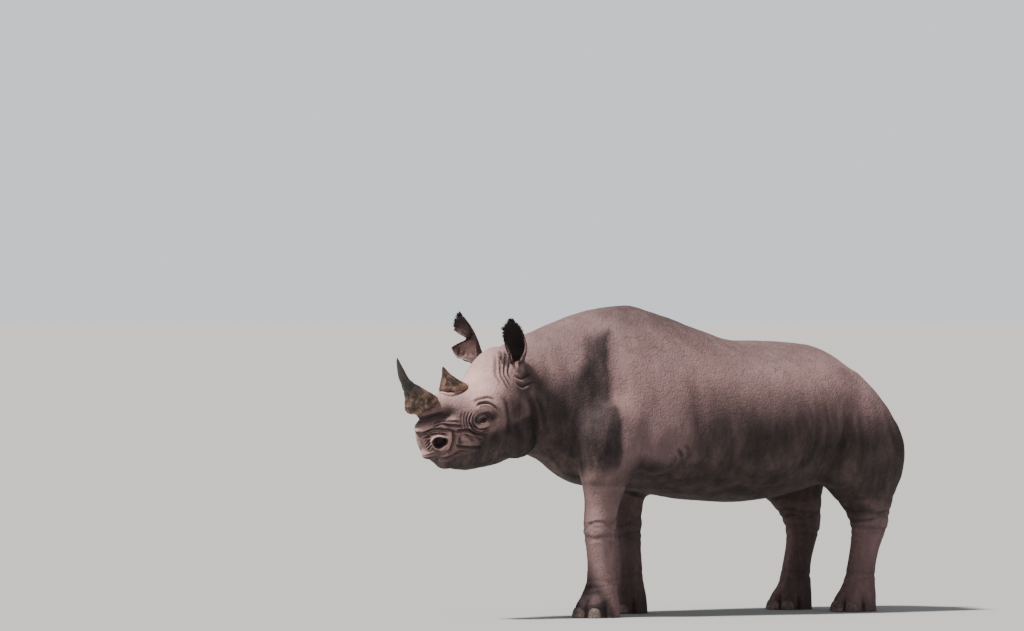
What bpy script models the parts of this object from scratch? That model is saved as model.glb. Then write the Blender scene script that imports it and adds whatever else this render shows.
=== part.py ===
"""A life-size black rhinoceros, standing still with its head turned a little to its left.

The whole body is built up like clay: closed lofts and muscle masses are welded by a voxel
remesh, smoothed, and then parted into head, neck, trunk, tail, legs and feet by thin cuts.
Horns, ears, eyes and toenails are solids of their own, each seated in a socket of the body.

Metres. +X is forward, +Y is the animal's left and +Z is up. While it is built, x and y are
counted from under the top of the withers; the finished animal is then moved so that the
origin is on the floor, under the middle of its box.
"""

import math

import bmesh
import bpy
import numpy as np
from mathutils import Matrix, Vector

# ---------------------------------------------------------------- driving dimensions
SIDES = {"left": 1, "right": -1}
HEAD_AT = Vector((0.778, 0.05, 1.25))  # middle of the line between the two ear bases
HEAD_YAW = math.radians(9)  # the head's turn to its left
HEAD_PITCH = math.radians(20)  # how far the nose points down
EYE_AT = Vector((0.318, 0.137, -0.164))  # left eye's centre in the head's own frame
EYE_RADIUS = 0.027
EAR_AT = Vector((0.000, 0.133, -0.008))  # left ear's root in the head's own frame
EAR_HEIGHTS = {"left": 0.240, "right": 0.275}
EAR_LEAN = Vector((0.026, 0.187, 0.982))  # the way the left ear points, in the same frame
EAR_OPENS = {"left": math.radians(28), "right": math.radians(-18)}  # hollow turned outwards
EAR_WALL = 0.011
SEAM = 0.0005  # gap of the thin cuts and of the sockets
FLOOR_CUT = 0.06  # how far the leg lofts run below the floor before the soles are cut

COARSE_CLAY, COARSE_PASSES = 0.018, 14
FINE_CLAY, FINE_PASSES = 0.011, 6
HEAD_PASSES = 10
BODY_TRIANGLES = 2600
EAR_CLAY, EAR_TRIANGLES = 0.0035, 360


# ---------------------------------------------------------------- stations of the lofts
# Trunk and neck: along, side shift, back, widest level, belly, half width, and the
# roundness of the section above and below its widest level (2 is an ellipse, more is boxier).
TRUNK = (
    (-1.485, 0.000, 0.95, 0.90, 0.85, 0.06, 2.0, 2.0),  # end of the buttocks
    (-1.445, 0.000, 1.045, 0.91, 0.78, 0.20, 2.0, 2.0),  # root of the tail
    (-1.360, 0.000, 1.160, 0.94, 0.72, 0.30, 2.0, 2.1),
    (-1.220, 0.000, 1.286, 0.96, 0.67, 0.375, 2.1, 2.1),  # croup
    (-1.050, 0.000, 1.358, 0.97, 0.62, 0.420, 2.2, 2.2),  # hip bones
    (-0.850, 0.000, 1.372, 0.95, 0.575, 0.452, 2.1, 2.2),  # loin
    (-0.620, 0.000, 1.378, 0.92, 0.555, 0.465, 2.0, 2.2),  # hollow of the back
    (-0.380, 0.000, 1.443, 0.92, 0.570, 0.452, 1.95, 2.2),  # ribs
    (-0.150, 0.000, 1.518, 0.93, 0.600, 0.418, 1.9, 2.2),  # girth
    (0.000, 0.000, 1.552, 0.94, 0.625, 0.390, 1.85, 2.1),  # withers
    (0.150, 0.000, 1.538, 0.96, 0.635, 0.360, 1.85, 2.0),  # shoulder
    (0.280, 0.002, 1.514, 0.98, 0.650, 0.318, 1.85, 1.9),  # chest
    (0.390, 0.008, 1.484, 1.01, 0.692, 0.272, 1.85, 1.8),
    (0.500, 0.016, 1.449, 1.05, 0.765, 0.232, 1.85, 1.8),  # neck
    (0.600, 0.026, 1.411, 1.08, 0.803, 0.206, 1.9, 1.8),
    (0.700, 0.038, 1.380, 1.10, 0.820, 0.186, 1.9, 1.8),  # nape
    (0.800, 0.050, 1.320, 1.10, 0.850, 0.140, 2.0, 2.0),
    (0.860, 0.056, 1.230, 1.10, 0.950, 0.070, 2.0, 2.0),
)
# Head, square to its own axis: along, top, widest level, bottom, half width, roundness
# above and below.
HEAD = (
    (-0.115, -0.010, -0.12, -0.30, 0.100, 2.0, 2.0),
    (-0.060, 0.080, -0.12, -0.41, 0.150, 2.0, 1.9),  # poll
    (0.020, 0.103, -0.14, -0.448, 0.166, 1.9, 1.9),
    (0.100, 0.085, -0.15, -0.455, 0.172, 1.9, 1.8),  # forehead
    (0.165, 0.036, -0.16, -0.452, 0.176, 2.0, 1.7),
    (0.220, 0.004, -0.17, -0.446, 0.176, 2.1, 1.7),  # cheek bones
    (0.270, -0.003, -0.17, -0.436, 0.168, 2.1, 1.7),
    (0.326, -0.004, -0.17, -0.426, 0.150, 2.1, 1.7),  # eyes, rear horn
    (0.390, -0.003, -0.17, -0.410, 0.126, 2.1, 1.8),
    (0.440, 0.000, -0.17, -0.388, 0.112, 2.1, 1.9),
    (0.490, -0.002, -0.17, -0.360, 0.105, 2.2, 2.0),  # front horn
    (0.540, -0.034, -0.18, -0.324, 0.098, 2.2, 2.1),
    (0.570, -0.070, -0.18, -0.290, 0.084, 2.2, 2.2),  # nostrils
    (0.592, -0.104, -0.18, -0.264, 0.062, 2.2, 2.2),
    (0.606, -0.140, -0.18, -0.230, 0.030, 2.0, 2.0),  # front of the muzzle
)
# Legs, level sections: height, forward, out from the middle plane, half length, half width.
FORELEG = (
    (1.16, 0.110, 0.215, 0.120, 0.060),
    (1.06, 0.125, 0.258, 0.190, 0.105),  # point of the shoulder
    (0.95, 0.110, 0.270, 0.205, 0.122),  # upper arm
    (0.84, 0.065, 0.264, 0.190, 0.122),
    (0.74, 0.030, 0.248, 0.152, 0.112),  # elbow
    (0.64, 0.028, 0.230, 0.112, 0.096),
    (0.54, 0.038, 0.218, 0.090, 0.084),  # forearm
    (0.43, 0.044, 0.211, 0.086, 0.082),  # wrist
    (0.34, 0.038, 0.208, 0.075, 0.074),
    (0.22, 0.030, 0.206, 0.073, 0.074),  # cannon
    (0.13, 0.036, 0.205, 0.088, 0.087),
    (0.06, 0.048, 0.205, 0.112, 0.108),
    (0.00, 0.055, 0.205, 0.122, 0.116),  # sole
    (-FLOOR_CUT, 0.055, 0.205, 0.118, 0.112),
)
HINDLEG = (
    (1.22, -1.120, 0.180, 0.160, 0.080),
    (1.08, -1.155, 0.225, 0.230, 0.140),  # hip
    (0.94, -1.190, 0.252, 0.276, 0.158),  # thigh
    (0.82, -1.212, 0.264, 0.292, 0.157),
    (0.71, -1.242, 0.258, 0.258, 0.138),  # knee
    (0.60, -1.286, 0.240, 0.185, 0.110),
    (0.51, -1.325, 0.224, 0.132, 0.092),
    (0.43, -1.345, 0.214, 0.105, 0.080),  # hock
    (0.34, -1.330, 0.208, 0.086, 0.074),
    (0.22, -1.300, 0.205, 0.078, 0.074),  # cannon
    (0.13, -1.288, 0.205, 0.090, 0.086),
    (0.06, -1.268, 0.205, 0.110, 0.106),
    (0.00, -1.258, 0.205, 0.120, 0.112),  # sole
    (-FLOOR_CUT, -1.258, 0.205, 0.116, 0.108),
)
LEG_BOXINESS = 2.5  # roundness of the upper leg's sections
BOXY_FROM = (0.5, 0.7)  # heights between which it comes in
# The outlines the legs are parted along: height, forward, out, half length, half width.
LEG_CUT = {
    "foreleg": (
        (1.09, 0.100, 0.310, 0.030, 0.100),
        (1.06, 0.100, 0.315, 0.110, 0.150),
        (0.98, 0.090, 0.325, 0.190, 0.180),
        (0.88, 0.070, 0.325, 0.215, 0.190),
        (0.78, 0.040, 0.320, 0.205, 0.200),
        (0.68, 0.030, 0.300, 0.185, 0.210),
        (0.58, 0.030, 0.280, 0.175, 0.220),
        (0.30, 0.040, 0.260, 0.170, 0.225),
        (-0.02, 0.050, 0.240, 0.180, 0.225),
    ),
    "hindleg": (
        (1.04, -1.190, 0.320, 0.040, 0.110),
        (1.01, -1.195, 0.325, 0.130, 0.160),
        (0.93, -1.210, 0.330, 0.230, 0.180),
        (0.83, -1.225, 0.330, 0.290, 0.195),
        (0.73, -1.240, 0.320, 0.300, 0.205),
        (0.63, -1.260, 0.300, 0.270, 0.215),
        (0.50, -1.290, 0.280, 0.230, 0.225),
        (0.30, -1.290, 0.260, 0.190, 0.225),
        (-0.02, -1.260, 0.240, 0.180, 0.225),
    ),
}
NECK_CUT = (Vector((0.400, 0, 1.08)), Matrix.Rotation(math.radians(14), 4, "Y"))
HEAD_CUT = (
    Vector((0.690, 0.040, 1.08)),
    Matrix.Rotation(HEAD_YAW, 4, "Z") @ Matrix.Rotation(math.radians(12), 4, "Y"),
)
# Horns: forward of and above the line between the ears, radius along the head, radius across it.
FRONT_HORN = (
    (0.505, -0.252, 0.056, 0.056),
    (0.514, -0.226, 0.076, 0.072),
    (0.519, -0.198, 0.083, 0.078),
    (0.517, -0.166, 0.083, 0.079),
    (0.532, -0.138, 0.074, 0.071),
    (0.558, -0.119, 0.061, 0.059),
    (0.584, -0.101, 0.047, 0.046),
    (0.607, -0.085, 0.036, 0.035),
    (0.622, -0.069, 0.029, 0.028),
    (0.637, -0.050, 0.0235, 0.0230),
    (0.651, -0.019, 0.0175, 0.0170),
    (0.660, 0.001, 0.0130, 0.0130),
    (0.669, 0.025, 0.0075, 0.0075),
    (0.675, 0.043, 0.0030, 0.0030),
)
REAR_HORN = (
    (0.296, -0.190, 0.084, 0.060),
    (0.300, -0.136, 0.086, 0.062),
    (0.302, -0.104, 0.080, 0.0575),
    (0.310, -0.086, 0.071, 0.051),
    (0.330, -0.065, 0.048, 0.035),
    (0.350, -0.043, 0.026, 0.020),
    (0.366, -0.020, 0.0125, 0.0105),
    (0.376, -0.002, 0.0040, 0.0040),
)
# Tail: along, up, half thickness, half width.
TAIL = (
    (-1.395, 1.065, 0.060, 0.050),
    (-1.455, 1.060, 0.052, 0.046),
    (-1.512, 1.015, 0.040, 0.036),
    (-1.540, 0.935, 0.032, 0.029),
    (-1.550, 0.840, 0.026, 0.025),
    (-1.553, 0.730, 0.022, 0.022),
    (-1.552, 0.640, 0.021, 0.020),
    (-1.550, 0.560, 0.032, 0.021),
    (-1.548, 0.480, 0.036, 0.020),
    (-1.547, 0.415, 0.020, 0.013),
    (-1.547, 0.385, 0.006, 0.005),
)
# Ear: part of its height, width of its inner and of its outer half, depth of the cup, and how
# far the wall wraps round on the inner and on the outer side, in degrees.
EAR = (
    (0.00, 0.034, 0.034, 0.034, 168, 168),
    (0.12, 0.034, 0.037, 0.036, 158, 162),
    (0.24, 0.036, 0.047, 0.042, 134, 134),
    (0.36, 0.044, 0.058, 0.046, 112, 112),
    (0.50, 0.053, 0.062, 0.043, 96, 98),
    (0.64, 0.057, 0.059, 0.038, 87, 90),
    (0.78, 0.051, 0.051, 0.030, 80, 82),
    (0.90, 0.036, 0.036, 0.021, 72, 72),
    (0.98, 0.018, 0.018, 0.012, 66, 66),
    (1.00, 0.008, 0.008, 0.007, 60, 60),
)
EAR_FLARE = {"left": (1.0, 1.0), "right": (0.55, 1.50)}  # spread of the inner and outer halves
# Tear in the right ear's outer edge: the top of the lobe below it, where it's deepest, where it
# starts to narrow and ends, the share of the width that is gone, and how many degrees of wrap.
EAR_NOTCH = (0.535, 0.565, 0.60, 0.80, 0.62, 22)
LOBE_FLARE = 1.35  # of the outer half below the tear
# Toenails of one foot: turn from straight ahead, half width.
TOENAILS = (("inner", -52, 0.034), ("middle", 0, 0.044), ("outer", 52, 0.034))
NAIL_HEIGHT, NAIL_THICKNESS, NAIL_BEVEL = 0.052, 0.032, 0.011
NAIL_STEP = 0.007  # how far it stands out of the foot
NAIL_LIFT = 0.004  # clear of the floor
NAIL_CURVE, NAIL_LEAN, NAIL_TAPER = 4.5, 0.22, 2.2  # round the foot, back and inwards with height
FOOT_TOP = 0.125  # where the foot is parted from the leg
STANCE_TOP, STANCE_RUN = 1.16, 0.46  # a step moves the leg from this height down, over this run
# Each leg's loft, its side, and how far its foot has stepped forward.
STANCE = {
    "foreleg_left": (FORELEG, 1, 0.250),
    "foreleg_right": (FORELEG, -1, -0.190),
    "hindleg_left": (HINDLEG, 1, 0.000),
    "hindleg_right": (HINDLEG, -1, 0.110),
}


# ---------------------------------------------------------------- curves and lofts
def smooth_rows(stations, count):
    """Rows read evenly from a curve through the stations that never overshoots them."""
    rows = np.array(stations, float)
    chords = np.linalg.norm(np.diff(rows[:, :3], axis=0), axis=1)
    place = np.concatenate([[0], np.cumsum(chords)])
    steps = np.diff(place)[:, None]
    slopes = np.diff(rows, axis=0) / steps
    same_way = slopes[1:] * slopes[:-1] > 0
    mean = 2 * slopes[1:] * slopes[:-1] / np.where(same_way, slopes[1:] + slopes[:-1], 1)
    tangents = np.vstack([slopes[:1], np.where(same_way, mean, 0), slopes[-1:]])
    at = np.linspace(0, place[-1], count)
    left = np.clip(np.searchsorted(place, at, "right") - 1, 0, len(steps) - 1)
    t = ((at - place[left]) / steps[left, 0])[:, None]
    step = steps[left]
    return (
        (2 * t**3 - 3 * t**2 + 1) * rows[left]
        + (t**3 - 2 * t**2 + t) * step * tangents[left]
        + (3 * t**2 - 2 * t**3) * rows[left + 1]
        + (t**3 - t**2) * step * tangents[left + 1]
    )


def rounded_section(top, widest, bottom, half_width, above, below, sides):
    """Points (out, up) round a section, from its top over the left side."""
    turn = np.arange(sides) * 2 * math.pi / sides
    cos, sin = np.cos(turn), np.sin(turn)
    power = 2 / np.where(cos > 0, above, below)
    reach = np.where(cos > 0, top - widest, widest - bottom)
    out = half_width * np.sign(sin) * np.abs(sin) ** power
    up = widest + reach * np.sign(cos) * np.abs(cos) ** power
    return np.stack([out, up], 1)


def mesh_object(name, points, faces):
    mesh = bpy.data.meshes.new(name)
    mesh.from_pydata([tuple(p) for p in points], [], faces)
    made = bmesh.new()
    made.from_mesh(mesh)
    bmesh.ops.recalc_face_normals(made, faces=made.faces)
    made.to_mesh(mesh)
    made.free()
    obj = bpy.data.objects.new(name, mesh)
    bpy.context.scene.collection.objects.link(obj)
    return obj


def loft(name, rings):
    """A closed body through equal rings of points, with a flat cap at each end."""
    count, sides = len(rings), len(rings[0])
    faces = [tuple(range(sides)), tuple((count - 1) * sides + j for j in range(sides))]
    for i in range(count - 1):
        for j in range(sides):
            near, far = i * sides + j, i * sides + (j + 1) % sides
            faces += [(near, far, far + sides), (near, far + sides, near + sides)]
    return mesh_object(name, np.concatenate(rings), faces)


def trunk_form():
    rings = []
    for x, shift, top, widest, bottom, half, above, below in smooth_rows(TRUNK, 90):
        section = rounded_section(top, widest, bottom, half, above, below, 64)
        rings.append(np.column_stack([np.full(len(section), x), section[:, 0] + shift, section[:, 1]]))
    return loft("trunk_form", rings)


def head_matrix():
    """The head's own frame: x along its axis to the nose, y to its left, z up."""
    turn = Matrix.Rotation(HEAD_YAW, 4, "Z") @ Matrix.Rotation(HEAD_PITCH, 4, "Y")
    return Matrix.Translation(HEAD_AT) @ turn


def head_form():
    rings = []
    for along, top, widest, bottom, half, above, below in smooth_rows(HEAD, 70):
        section = rounded_section(top, widest, bottom, half, above, below, 56)
        rings.append(np.column_stack([np.full(len(section), along), section]))
    form = loft("head_form", rings)
    form.data.transform(head_matrix())
    return form


def ramp(value, start, end):
    """0 at the start, 1 at the end and beyond it."""
    return max(0.0, min(1.0, (value - start) / (end - start)))


def stepped(leg, x, z):
    """Where a point of the leg at this height goes when its foot steps forward."""
    return x + STANCE[leg][2] * ramp(z, STANCE_TOP, STANCE_TOP - STANCE_RUN)


def leg_form(name):
    stations, side, _ = STANCE[name]
    rings = []
    for z, x, out, length, width in smooth_rows(stations, 60):
        turn = np.arange(40) * 2 * math.pi / 40
        cos, sin = np.cos(turn), np.sin(turn)
        power = 2 / (2 + (LEG_BOXINESS - 2) * ramp(z, *BOXY_FROM))
        lengthways = stepped(name, x, z) + length * np.sign(cos) * np.abs(cos) ** power
        outwards = side * (out + width * np.sign(sin) * np.abs(sin) ** power)
        rings.append(np.column_stack([lengthways, outwards, np.full(40, z)]))
    return loft(name + "_form", rings)


def mass(name, at, radii, frame=None, tilt=(0, 0, 0)):
    """An egg-shaped muscle or fold of the given half sizes."""
    form = bmesh.new()
    bmesh.ops.create_icosphere(form, subdivisions=4, radius=1)
    shape = (
        Matrix.Translation(at)
        @ Matrix.Rotation(tilt[2], 4, "Z")
        @ Matrix.Rotation(tilt[1], 4, "Y")
        @ Matrix.Rotation(tilt[0], 4, "X")
        @ Matrix.Diagonal((*radii, 1))
    )
    form.transform((frame or Matrix()) @ shape)
    mesh = bpy.data.meshes.new(name)
    form.to_mesh(mesh)
    form.free()
    obj = bpy.data.objects.new(name, mesh)
    bpy.context.scene.collection.objects.link(obj)
    return obj


def body_masses():
    """The muscles and bones that stand out from the barrel."""
    made = []
    for side in (1, -1):
        made += [
            mass("blade", (0.105, side * 0.225, 1.16), (0.150, 0.105, 0.27), tilt=(side * 0.32, -0.35, 0)),
            mass("upper_arm", (0.160, side * 0.265, 0.98), (0.200, 0.100, 0.20), tilt=(side * 0.1, 0.3, 0)),
            mass("triceps", (0.010, side * 0.295, 0.92), (0.170, 0.105, 0.22), tilt=(side * 0.1, -0.2, 0)),
            mass("hip", (-1.040, side * 0.250, 1.175), (0.170, 0.105, 0.09),
                 tilt=(side * 0.6, 0.15, side * 0.3)),
            mass("stifle", (-1.060, side * 0.305, 0.770), (0.13, 0.085, 0.15), tilt=(0, 0.5, 0)),
        ]
    return made


def head_masses():
    """Bosses under the horns, brows, cheeks, nostril mounds and lips."""
    frame = head_matrix()
    made = [
        mass("front_boss", (0.510, 0, -0.062), (0.104, 0.087, 0.062), frame, (0, 0.5, 0)),
        mass("rear_boss", (0.342, 0, -0.034), (0.085, 0.076, 0.048), frame),
        mass("saddle", (0.440, 0, -0.030), (0.075, 0.062, 0.052), frame),
        mass("upper_lip", (0.566, 0, -0.232), (0.040, 0.060, 0.056), frame, (0, 0.5, 0)),
        mass("lower_lip", (0.478, 0, -0.312), (0.070, 0.064, 0.046), frame, (0, 0.30, 0)),
    ]
    for side in (1, -1):
        made += [
            mass("brow", (0.318, side * 0.112, -0.112), (0.062, 0.042, 0.036), frame, (0, 0.1, -side * 0.3)),
            mass("cheek_bone", (0.215, side * 0.126, -0.200), (0.150, 0.056, 0.062), frame,
                 (0, 0.25, -side * 0.1)),
            mass("jaw_muscle", (0.100, side * 0.096, -0.320), (0.140, 0.078, 0.128), frame),
            mass("nostril_mound", (0.540, side * 0.062, -0.185), (0.046, 0.042, 0.050), frame),
            mass("ear_root", (-0.010, side * 0.112, -0.020), (0.062, 0.056, 0.066), frame),
        ]
    return made


def baked(obj):
    """The object's mesh with its modifiers applied."""
    graph = bpy.context.evaluated_depsgraph_get()
    return bpy.data.meshes.new_from_object(obj.evaluated_get(graph), depsgraph=graph)


def clay(name, forms, voxel, passes):
    """Welds the forms into one closed body and smooths it."""
    joined = bmesh.new()
    for form in forms:
        joined.from_mesh(form.data)
        bpy.data.objects.remove(form)
    mesh = bpy.data.meshes.new(name)
    joined.to_mesh(mesh)
    joined.free()
    obj = bpy.data.objects.new(name, mesh)
    bpy.context.scene.collection.objects.link(obj)
    weld = obj.modifiers.new("weld", "REMESH")
    weld.mode = "VOXEL"
    weld.voxel_size = voxel
    soften = obj.modifiers.new("soften", "SMOOTH")
    soften.factor = 0.5
    soften.iterations = passes
    obj.data = baked(obj)
    obj.modifiers.clear()
    return obj


def level_horn(name, stations):
    """A horn of level rings, placed by where the head stands and turns but not by its tilt."""
    rows = smooth_rows([(f, z, 0, a, b) for f, z, a, b in stations], 15)
    turn = np.arange(14) * 2 * math.pi / 14
    rings = []
    for forward, up, _, long, wide in rows:
        rings.append(
            np.column_stack([forward + long * np.cos(turn), wide * np.sin(turn), np.full(14, up)])
        )
    horn = loft(name, rings)
    horn.data.transform(Matrix.Translation(HEAD_AT) @ Matrix.Rotation(HEAD_YAW, 4, "Z"))
    return horn


def ear_frame(hand):
    """The ear's own frame: z up the ear, x the way its hollow opens."""
    side = SIDES[hand]
    up = Vector((EAR_LEAN.x, side * EAR_LEAN.y, EAR_LEAN.z)).normalized()
    opens = Vector((math.cos(EAR_OPENS[hand]), side * math.sin(EAR_OPENS[hand]), 0))
    opens = (opens - up * opens.dot(up)).normalized()
    across = up.cross(opens)
    turn = Matrix((opens, across, up)).transposed().to_4x4()
    return head_matrix() @ Matrix.Translation((EAR_AT.x, side * EAR_AT.y, EAR_AT.z)) @ turn


def stage_of(value, low, high):
    """0 up to the low value, 1 from the high one, straight between."""
    return min(1.0, max(0.0, (value - low) / (high - low)))


def ear_rings(hand, wall, count=30, steps=18):
    """Crescent rings up the ear: round the back of the cup and home again inside it."""
    rings = []
    lobe, deepest, healed, whole, share, bite = EAR_NOTCH
    for part, inner, outer, depth, inner_wrap, outer_wrap in smooth_rows(EAR, count):
        grown = min(1.0, part / 0.3)
        inner *= 1 + (EAR_FLARE[hand][0] - 1) * grown
        outer *= 1 + (EAR_FLARE[hand][1] - 1) * grown
        if hand == "right":
            torn = stage_of(part, lobe, deepest) - stage_of(part, healed, whole)
            outer *= 1 - share * torn
            outer_wrap -= bite * torn
            outer *= 1 + (LOBE_FLARE - 1) * stage_of(part, 0.12, 0.32) * (1 - stage_of(part, lobe, deepest))
        turn = np.radians(np.linspace(-inner_wrap, outer_wrap, steps))
        half = np.where(turn < 0, inner, outer)
        thick = min(wall, 0.45 * depth)
        outside = np.stack([-depth * np.cos(turn), half * np.sin(turn)], 1)
        inside = np.stack([-(depth - thick) * np.cos(turn), (half - thick) * np.sin(turn)], 1)[::-1]
        ring = np.concatenate([outside, inside])
        ring[:, 1] *= SIDES[hand]
        rings.append(np.column_stack([ring, np.full(len(ring), part * EAR_HEIGHTS[hand])]))
    return rings


def ear(hand):
    """A leaf-shaped cup on a round root; the right one is torn."""
    cup = loft("cup", ear_rings(hand, EAR_WALL))
    root = mass("root", (0, 0, 0.004), (0.036, 0.036, 0.052))
    whole = clay("ear_" + hand, [cup, root], EAR_CLAY, 2)
    thin(whole, EAR_TRIANGLES)
    whole.data.transform(ear_frame(hand))
    return whole


def tail():
    rows = smooth_rows([(x, z, 0, a, b) for x, z, a, b in TAIL], 14)
    middle = rows[:, :2]
    way = np.gradient(middle, axis=0)
    way /= np.linalg.norm(way, axis=1)[:, None]
    turn = np.arange(8) * 2 * math.pi / 8
    rings = []
    for (x, z), (dx, dz), thick, wide in zip(middle, way, rows[:, 3], rows[:, 4]):
        rings.append(
            np.column_stack([x + thick * np.cos(turn) * dz, wide * np.sin(turn),
                             z - thick * np.cos(turn) * dx])
        )
    return loft("tail", rings)


def eye(name, side):
    made = bmesh.new()
    bmesh.ops.create_icosphere(made, subdivisions=2, radius=EYE_RADIUS)
    made.transform(head_matrix() @ Matrix.Translation((EYE_AT.x, side * EYE_AT.y, EYE_AT.z)))
    mesh = bpy.data.meshes.new(name)
    made.to_mesh(mesh)
    made.free()
    obj = bpy.data.objects.new(name, mesh)
    bpy.context.scene.collection.objects.link(obj)
    return obj


def toenail(name, leg, turn, half):
    """A broad shield set in the front of the foot, clear of the floor."""
    stations, side, _ = STANCE[leg]
    x, out, length, width = next(row[1:] for row in stations if row[0] == 0)
    turn = math.radians(turn)
    rim = Vector((stepped(leg, x, 0) + length * math.cos(turn), side * (out + width * math.sin(turn)), 0))
    facing = Vector((math.cos(turn) / length, side * math.sin(turn) / width, 0)).normalized()
    made = bmesh.new()
    bmesh.ops.create_cube(made, size=1)
    box = Matrix.Diagonal((NAIL_THICKNESS, 2 * half, NAIL_HEIGHT, 1))
    made.transform(box)
    bmesh.ops.bevel(made, geom=made.edges[:], offset=NAIL_BEVEL, segments=1, profile=0.5, affect="EDGES")
    for vert in made.verts:
        height = vert.co.z + NAIL_HEIGHT / 2
        vert.co.x -= NAIL_CURVE * vert.co.y**2 + NAIL_LEAN * height
        vert.co.y *= 1 - NAIL_TAPER * height
    place = Matrix.Translation(rim - facing * (NAIL_THICKNESS / 2 - NAIL_STEP))
    place = place @ facing.to_track_quat("X", "Z").to_matrix().to_4x4()
    made.transform(Matrix.Translation((0, 0, NAIL_HEIGHT / 2 + NAIL_LIFT)) @ place)
    mesh = bpy.data.meshes.new(name)
    made.to_mesh(mesh)
    made.free()
    obj = bpy.data.objects.new(name, mesh)
    bpy.context.scene.collection.objects.link(obj)
    return obj


# ---------------------------------------------------------------- parting the body
def cut(obj, tool, how):
    """An exact Boolean, applied at once."""
    step = obj.modifiers.new(how.lower(), "BOOLEAN")
    step.operation, step.solver, step.object = how, "EXACT", tool
    mesh = baked(obj)
    obj.modifiers.clear()
    old, obj.data = obj.data, mesh
    bpy.data.meshes.remove(old)


def copy_of(obj, name):
    twin = bpy.data.objects.new(name, obj.data.copy())
    bpy.context.scene.collection.objects.link(twin)
    return twin


def swollen(obj, by):
    """A copy grown by the seam, for cutting the socket the part sits in."""
    made = bmesh.new()
    made.from_mesh(obj.data)
    bmesh.ops.triangulate(made, faces=made.faces[:])
    made.to_mesh(obj.data)
    twin = copy_of(obj, "socket")
    made.normal_update()
    normals = [vert.normal * by * min(3, vert.calc_shell_factor()) for vert in made.verts]
    for vert, step in zip(made.verts, normals):
        vert.co += step
    made.to_mesh(twin.data)
    made.free()
    return twin


def slab(name, low, high, frame=None):
    made = bmesh.new()
    bmesh.ops.create_cube(made, size=1)
    low, high = Vector(low), Vector(high)
    size = high - low
    made.transform((frame or Matrix()) @ Matrix.Translation((low + high) / 2) @ Matrix.Diagonal((*size, 1)))
    mesh = bpy.data.meshes.new(name)
    made.to_mesh(mesh)
    made.free()
    obj = bpy.data.objects.new(name, mesh)
    bpy.context.scene.collection.objects.link(obj)
    return obj


def leg_cutter(leg, grow):
    """A closed shape round the whole leg, domed inside the shoulder or the hip."""
    side = STANCE[leg][1]
    turn = np.arange(14) * 2 * math.pi / 14
    rings = []
    for z, x, out, length, width in LEG_CUT[leg.split("_")[0]]:
        lengthways = stepped(leg, x, z) + (length + grow) * np.cos(turn)
        outwards = side * (out + (width + grow) * np.sin(turn))
        rings.append(np.column_stack([lengthways, outwards, np.full(len(turn), z)]))
    rings[0][:, 2] += grow
    return loft("cutter", rings)


def part_body(body, parts):
    """Head, neck, trunk, legs and feet, each cut from the one body."""
    floor = slab("floor", (-3, -2, -1), (3, 2, 0))
    cut(body, floor, "DIFFERENCE")
    bpy.data.objects.remove(floor)
    for leg in STANCE:
        limb = copy_of(body, leg)
        tool = leg_cutter(leg, 0)
        cut(limb, tool, "INTERSECT")
        bpy.data.objects.remove(tool)
        tool = leg_cutter(leg, SEAM)
        cut(body, tool, "DIFFERENCE")
        bpy.data.objects.remove(tool)
        foot = copy_of(limb, leg.replace("leg", "foot"))
        tool = slab("above", (-3, -2, FOOT_TOP), (3, 2, 3))
        cut(foot, tool, "DIFFERENCE")
        tool.location.z = SEAM
        cut(limb, tool, "INTERSECT")
        bpy.data.objects.remove(tool)
        parts[limb.name], parts[foot.name] = limb, foot
    spans = {"head": (HEAD_CUT, None), "neck": (NECK_CUT, HEAD_CUT), "trunk": (None, NECK_CUT)}
    for name, (back, front) in spans.items():
        piece = copy_of(body, name)
        if back:
            tool = slab("front_of", (0, -2, -3), (4, 2, 3), Matrix.Translation(back[0]) @ back[1])
            cut(piece, tool, "INTERSECT")
            bpy.data.objects.remove(tool)
        if front:
            tool = slab("behind", (-4, -2, -3), (-SEAM, 2, 3), Matrix.Translation(front[0]) @ front[1])
            cut(piece, tool, "INTERSECT")
            bpy.data.objects.remove(tool)
        parts[name] = piece
    bpy.data.objects.remove(body)


def seat(part, host):
    """Cuts the socket of the part out of its host, then whatever sharp folds still touch it."""
    tool = swollen(part, SEAM)
    cut(host, tool, "DIFFERENCE")
    bpy.data.objects.remove(tool)
    cut(host, part, "DIFFERENCE")


def thin(obj, triangles):
    """Thins the mesh to about this many triangles."""
    step = obj.modifiers.new("thin", "DECIMATE")
    step.ratio = triangles / (2 * len(obj.data.polygons))
    obj.data = baked(obj)
    obj.modifiers.clear()


def whole_body():
    flesh = [trunk_form(), *map(leg_form, STANCE), *body_masses()]
    barrel = clay("barrel", flesh, COARSE_CLAY, COARSE_PASSES)
    skull = clay("skull", [head_form(), *head_masses()], FINE_CLAY, HEAD_PASSES)
    return clay("body", [barrel, skull], FINE_CLAY, FINE_PASSES)


def finish(obj, look):
    mesh = obj.data
    mesh.name = obj.name
    mesh.materials.clear()
    mesh.materials.append(look)
    mesh.shade_smooth()
    mesh.set_sharp_from_angle(angle=math.radians(50))


def material(name, colour, roughness):
    look = bpy.data.materials.new(name)
    look.use_nodes = True
    shader = look.node_tree.nodes["Principled BSDF"]
    shader.inputs["Base Color"].default_value = (*colour, 1)
    shader.inputs["Roughness"].default_value = roughness
    return look


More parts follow.
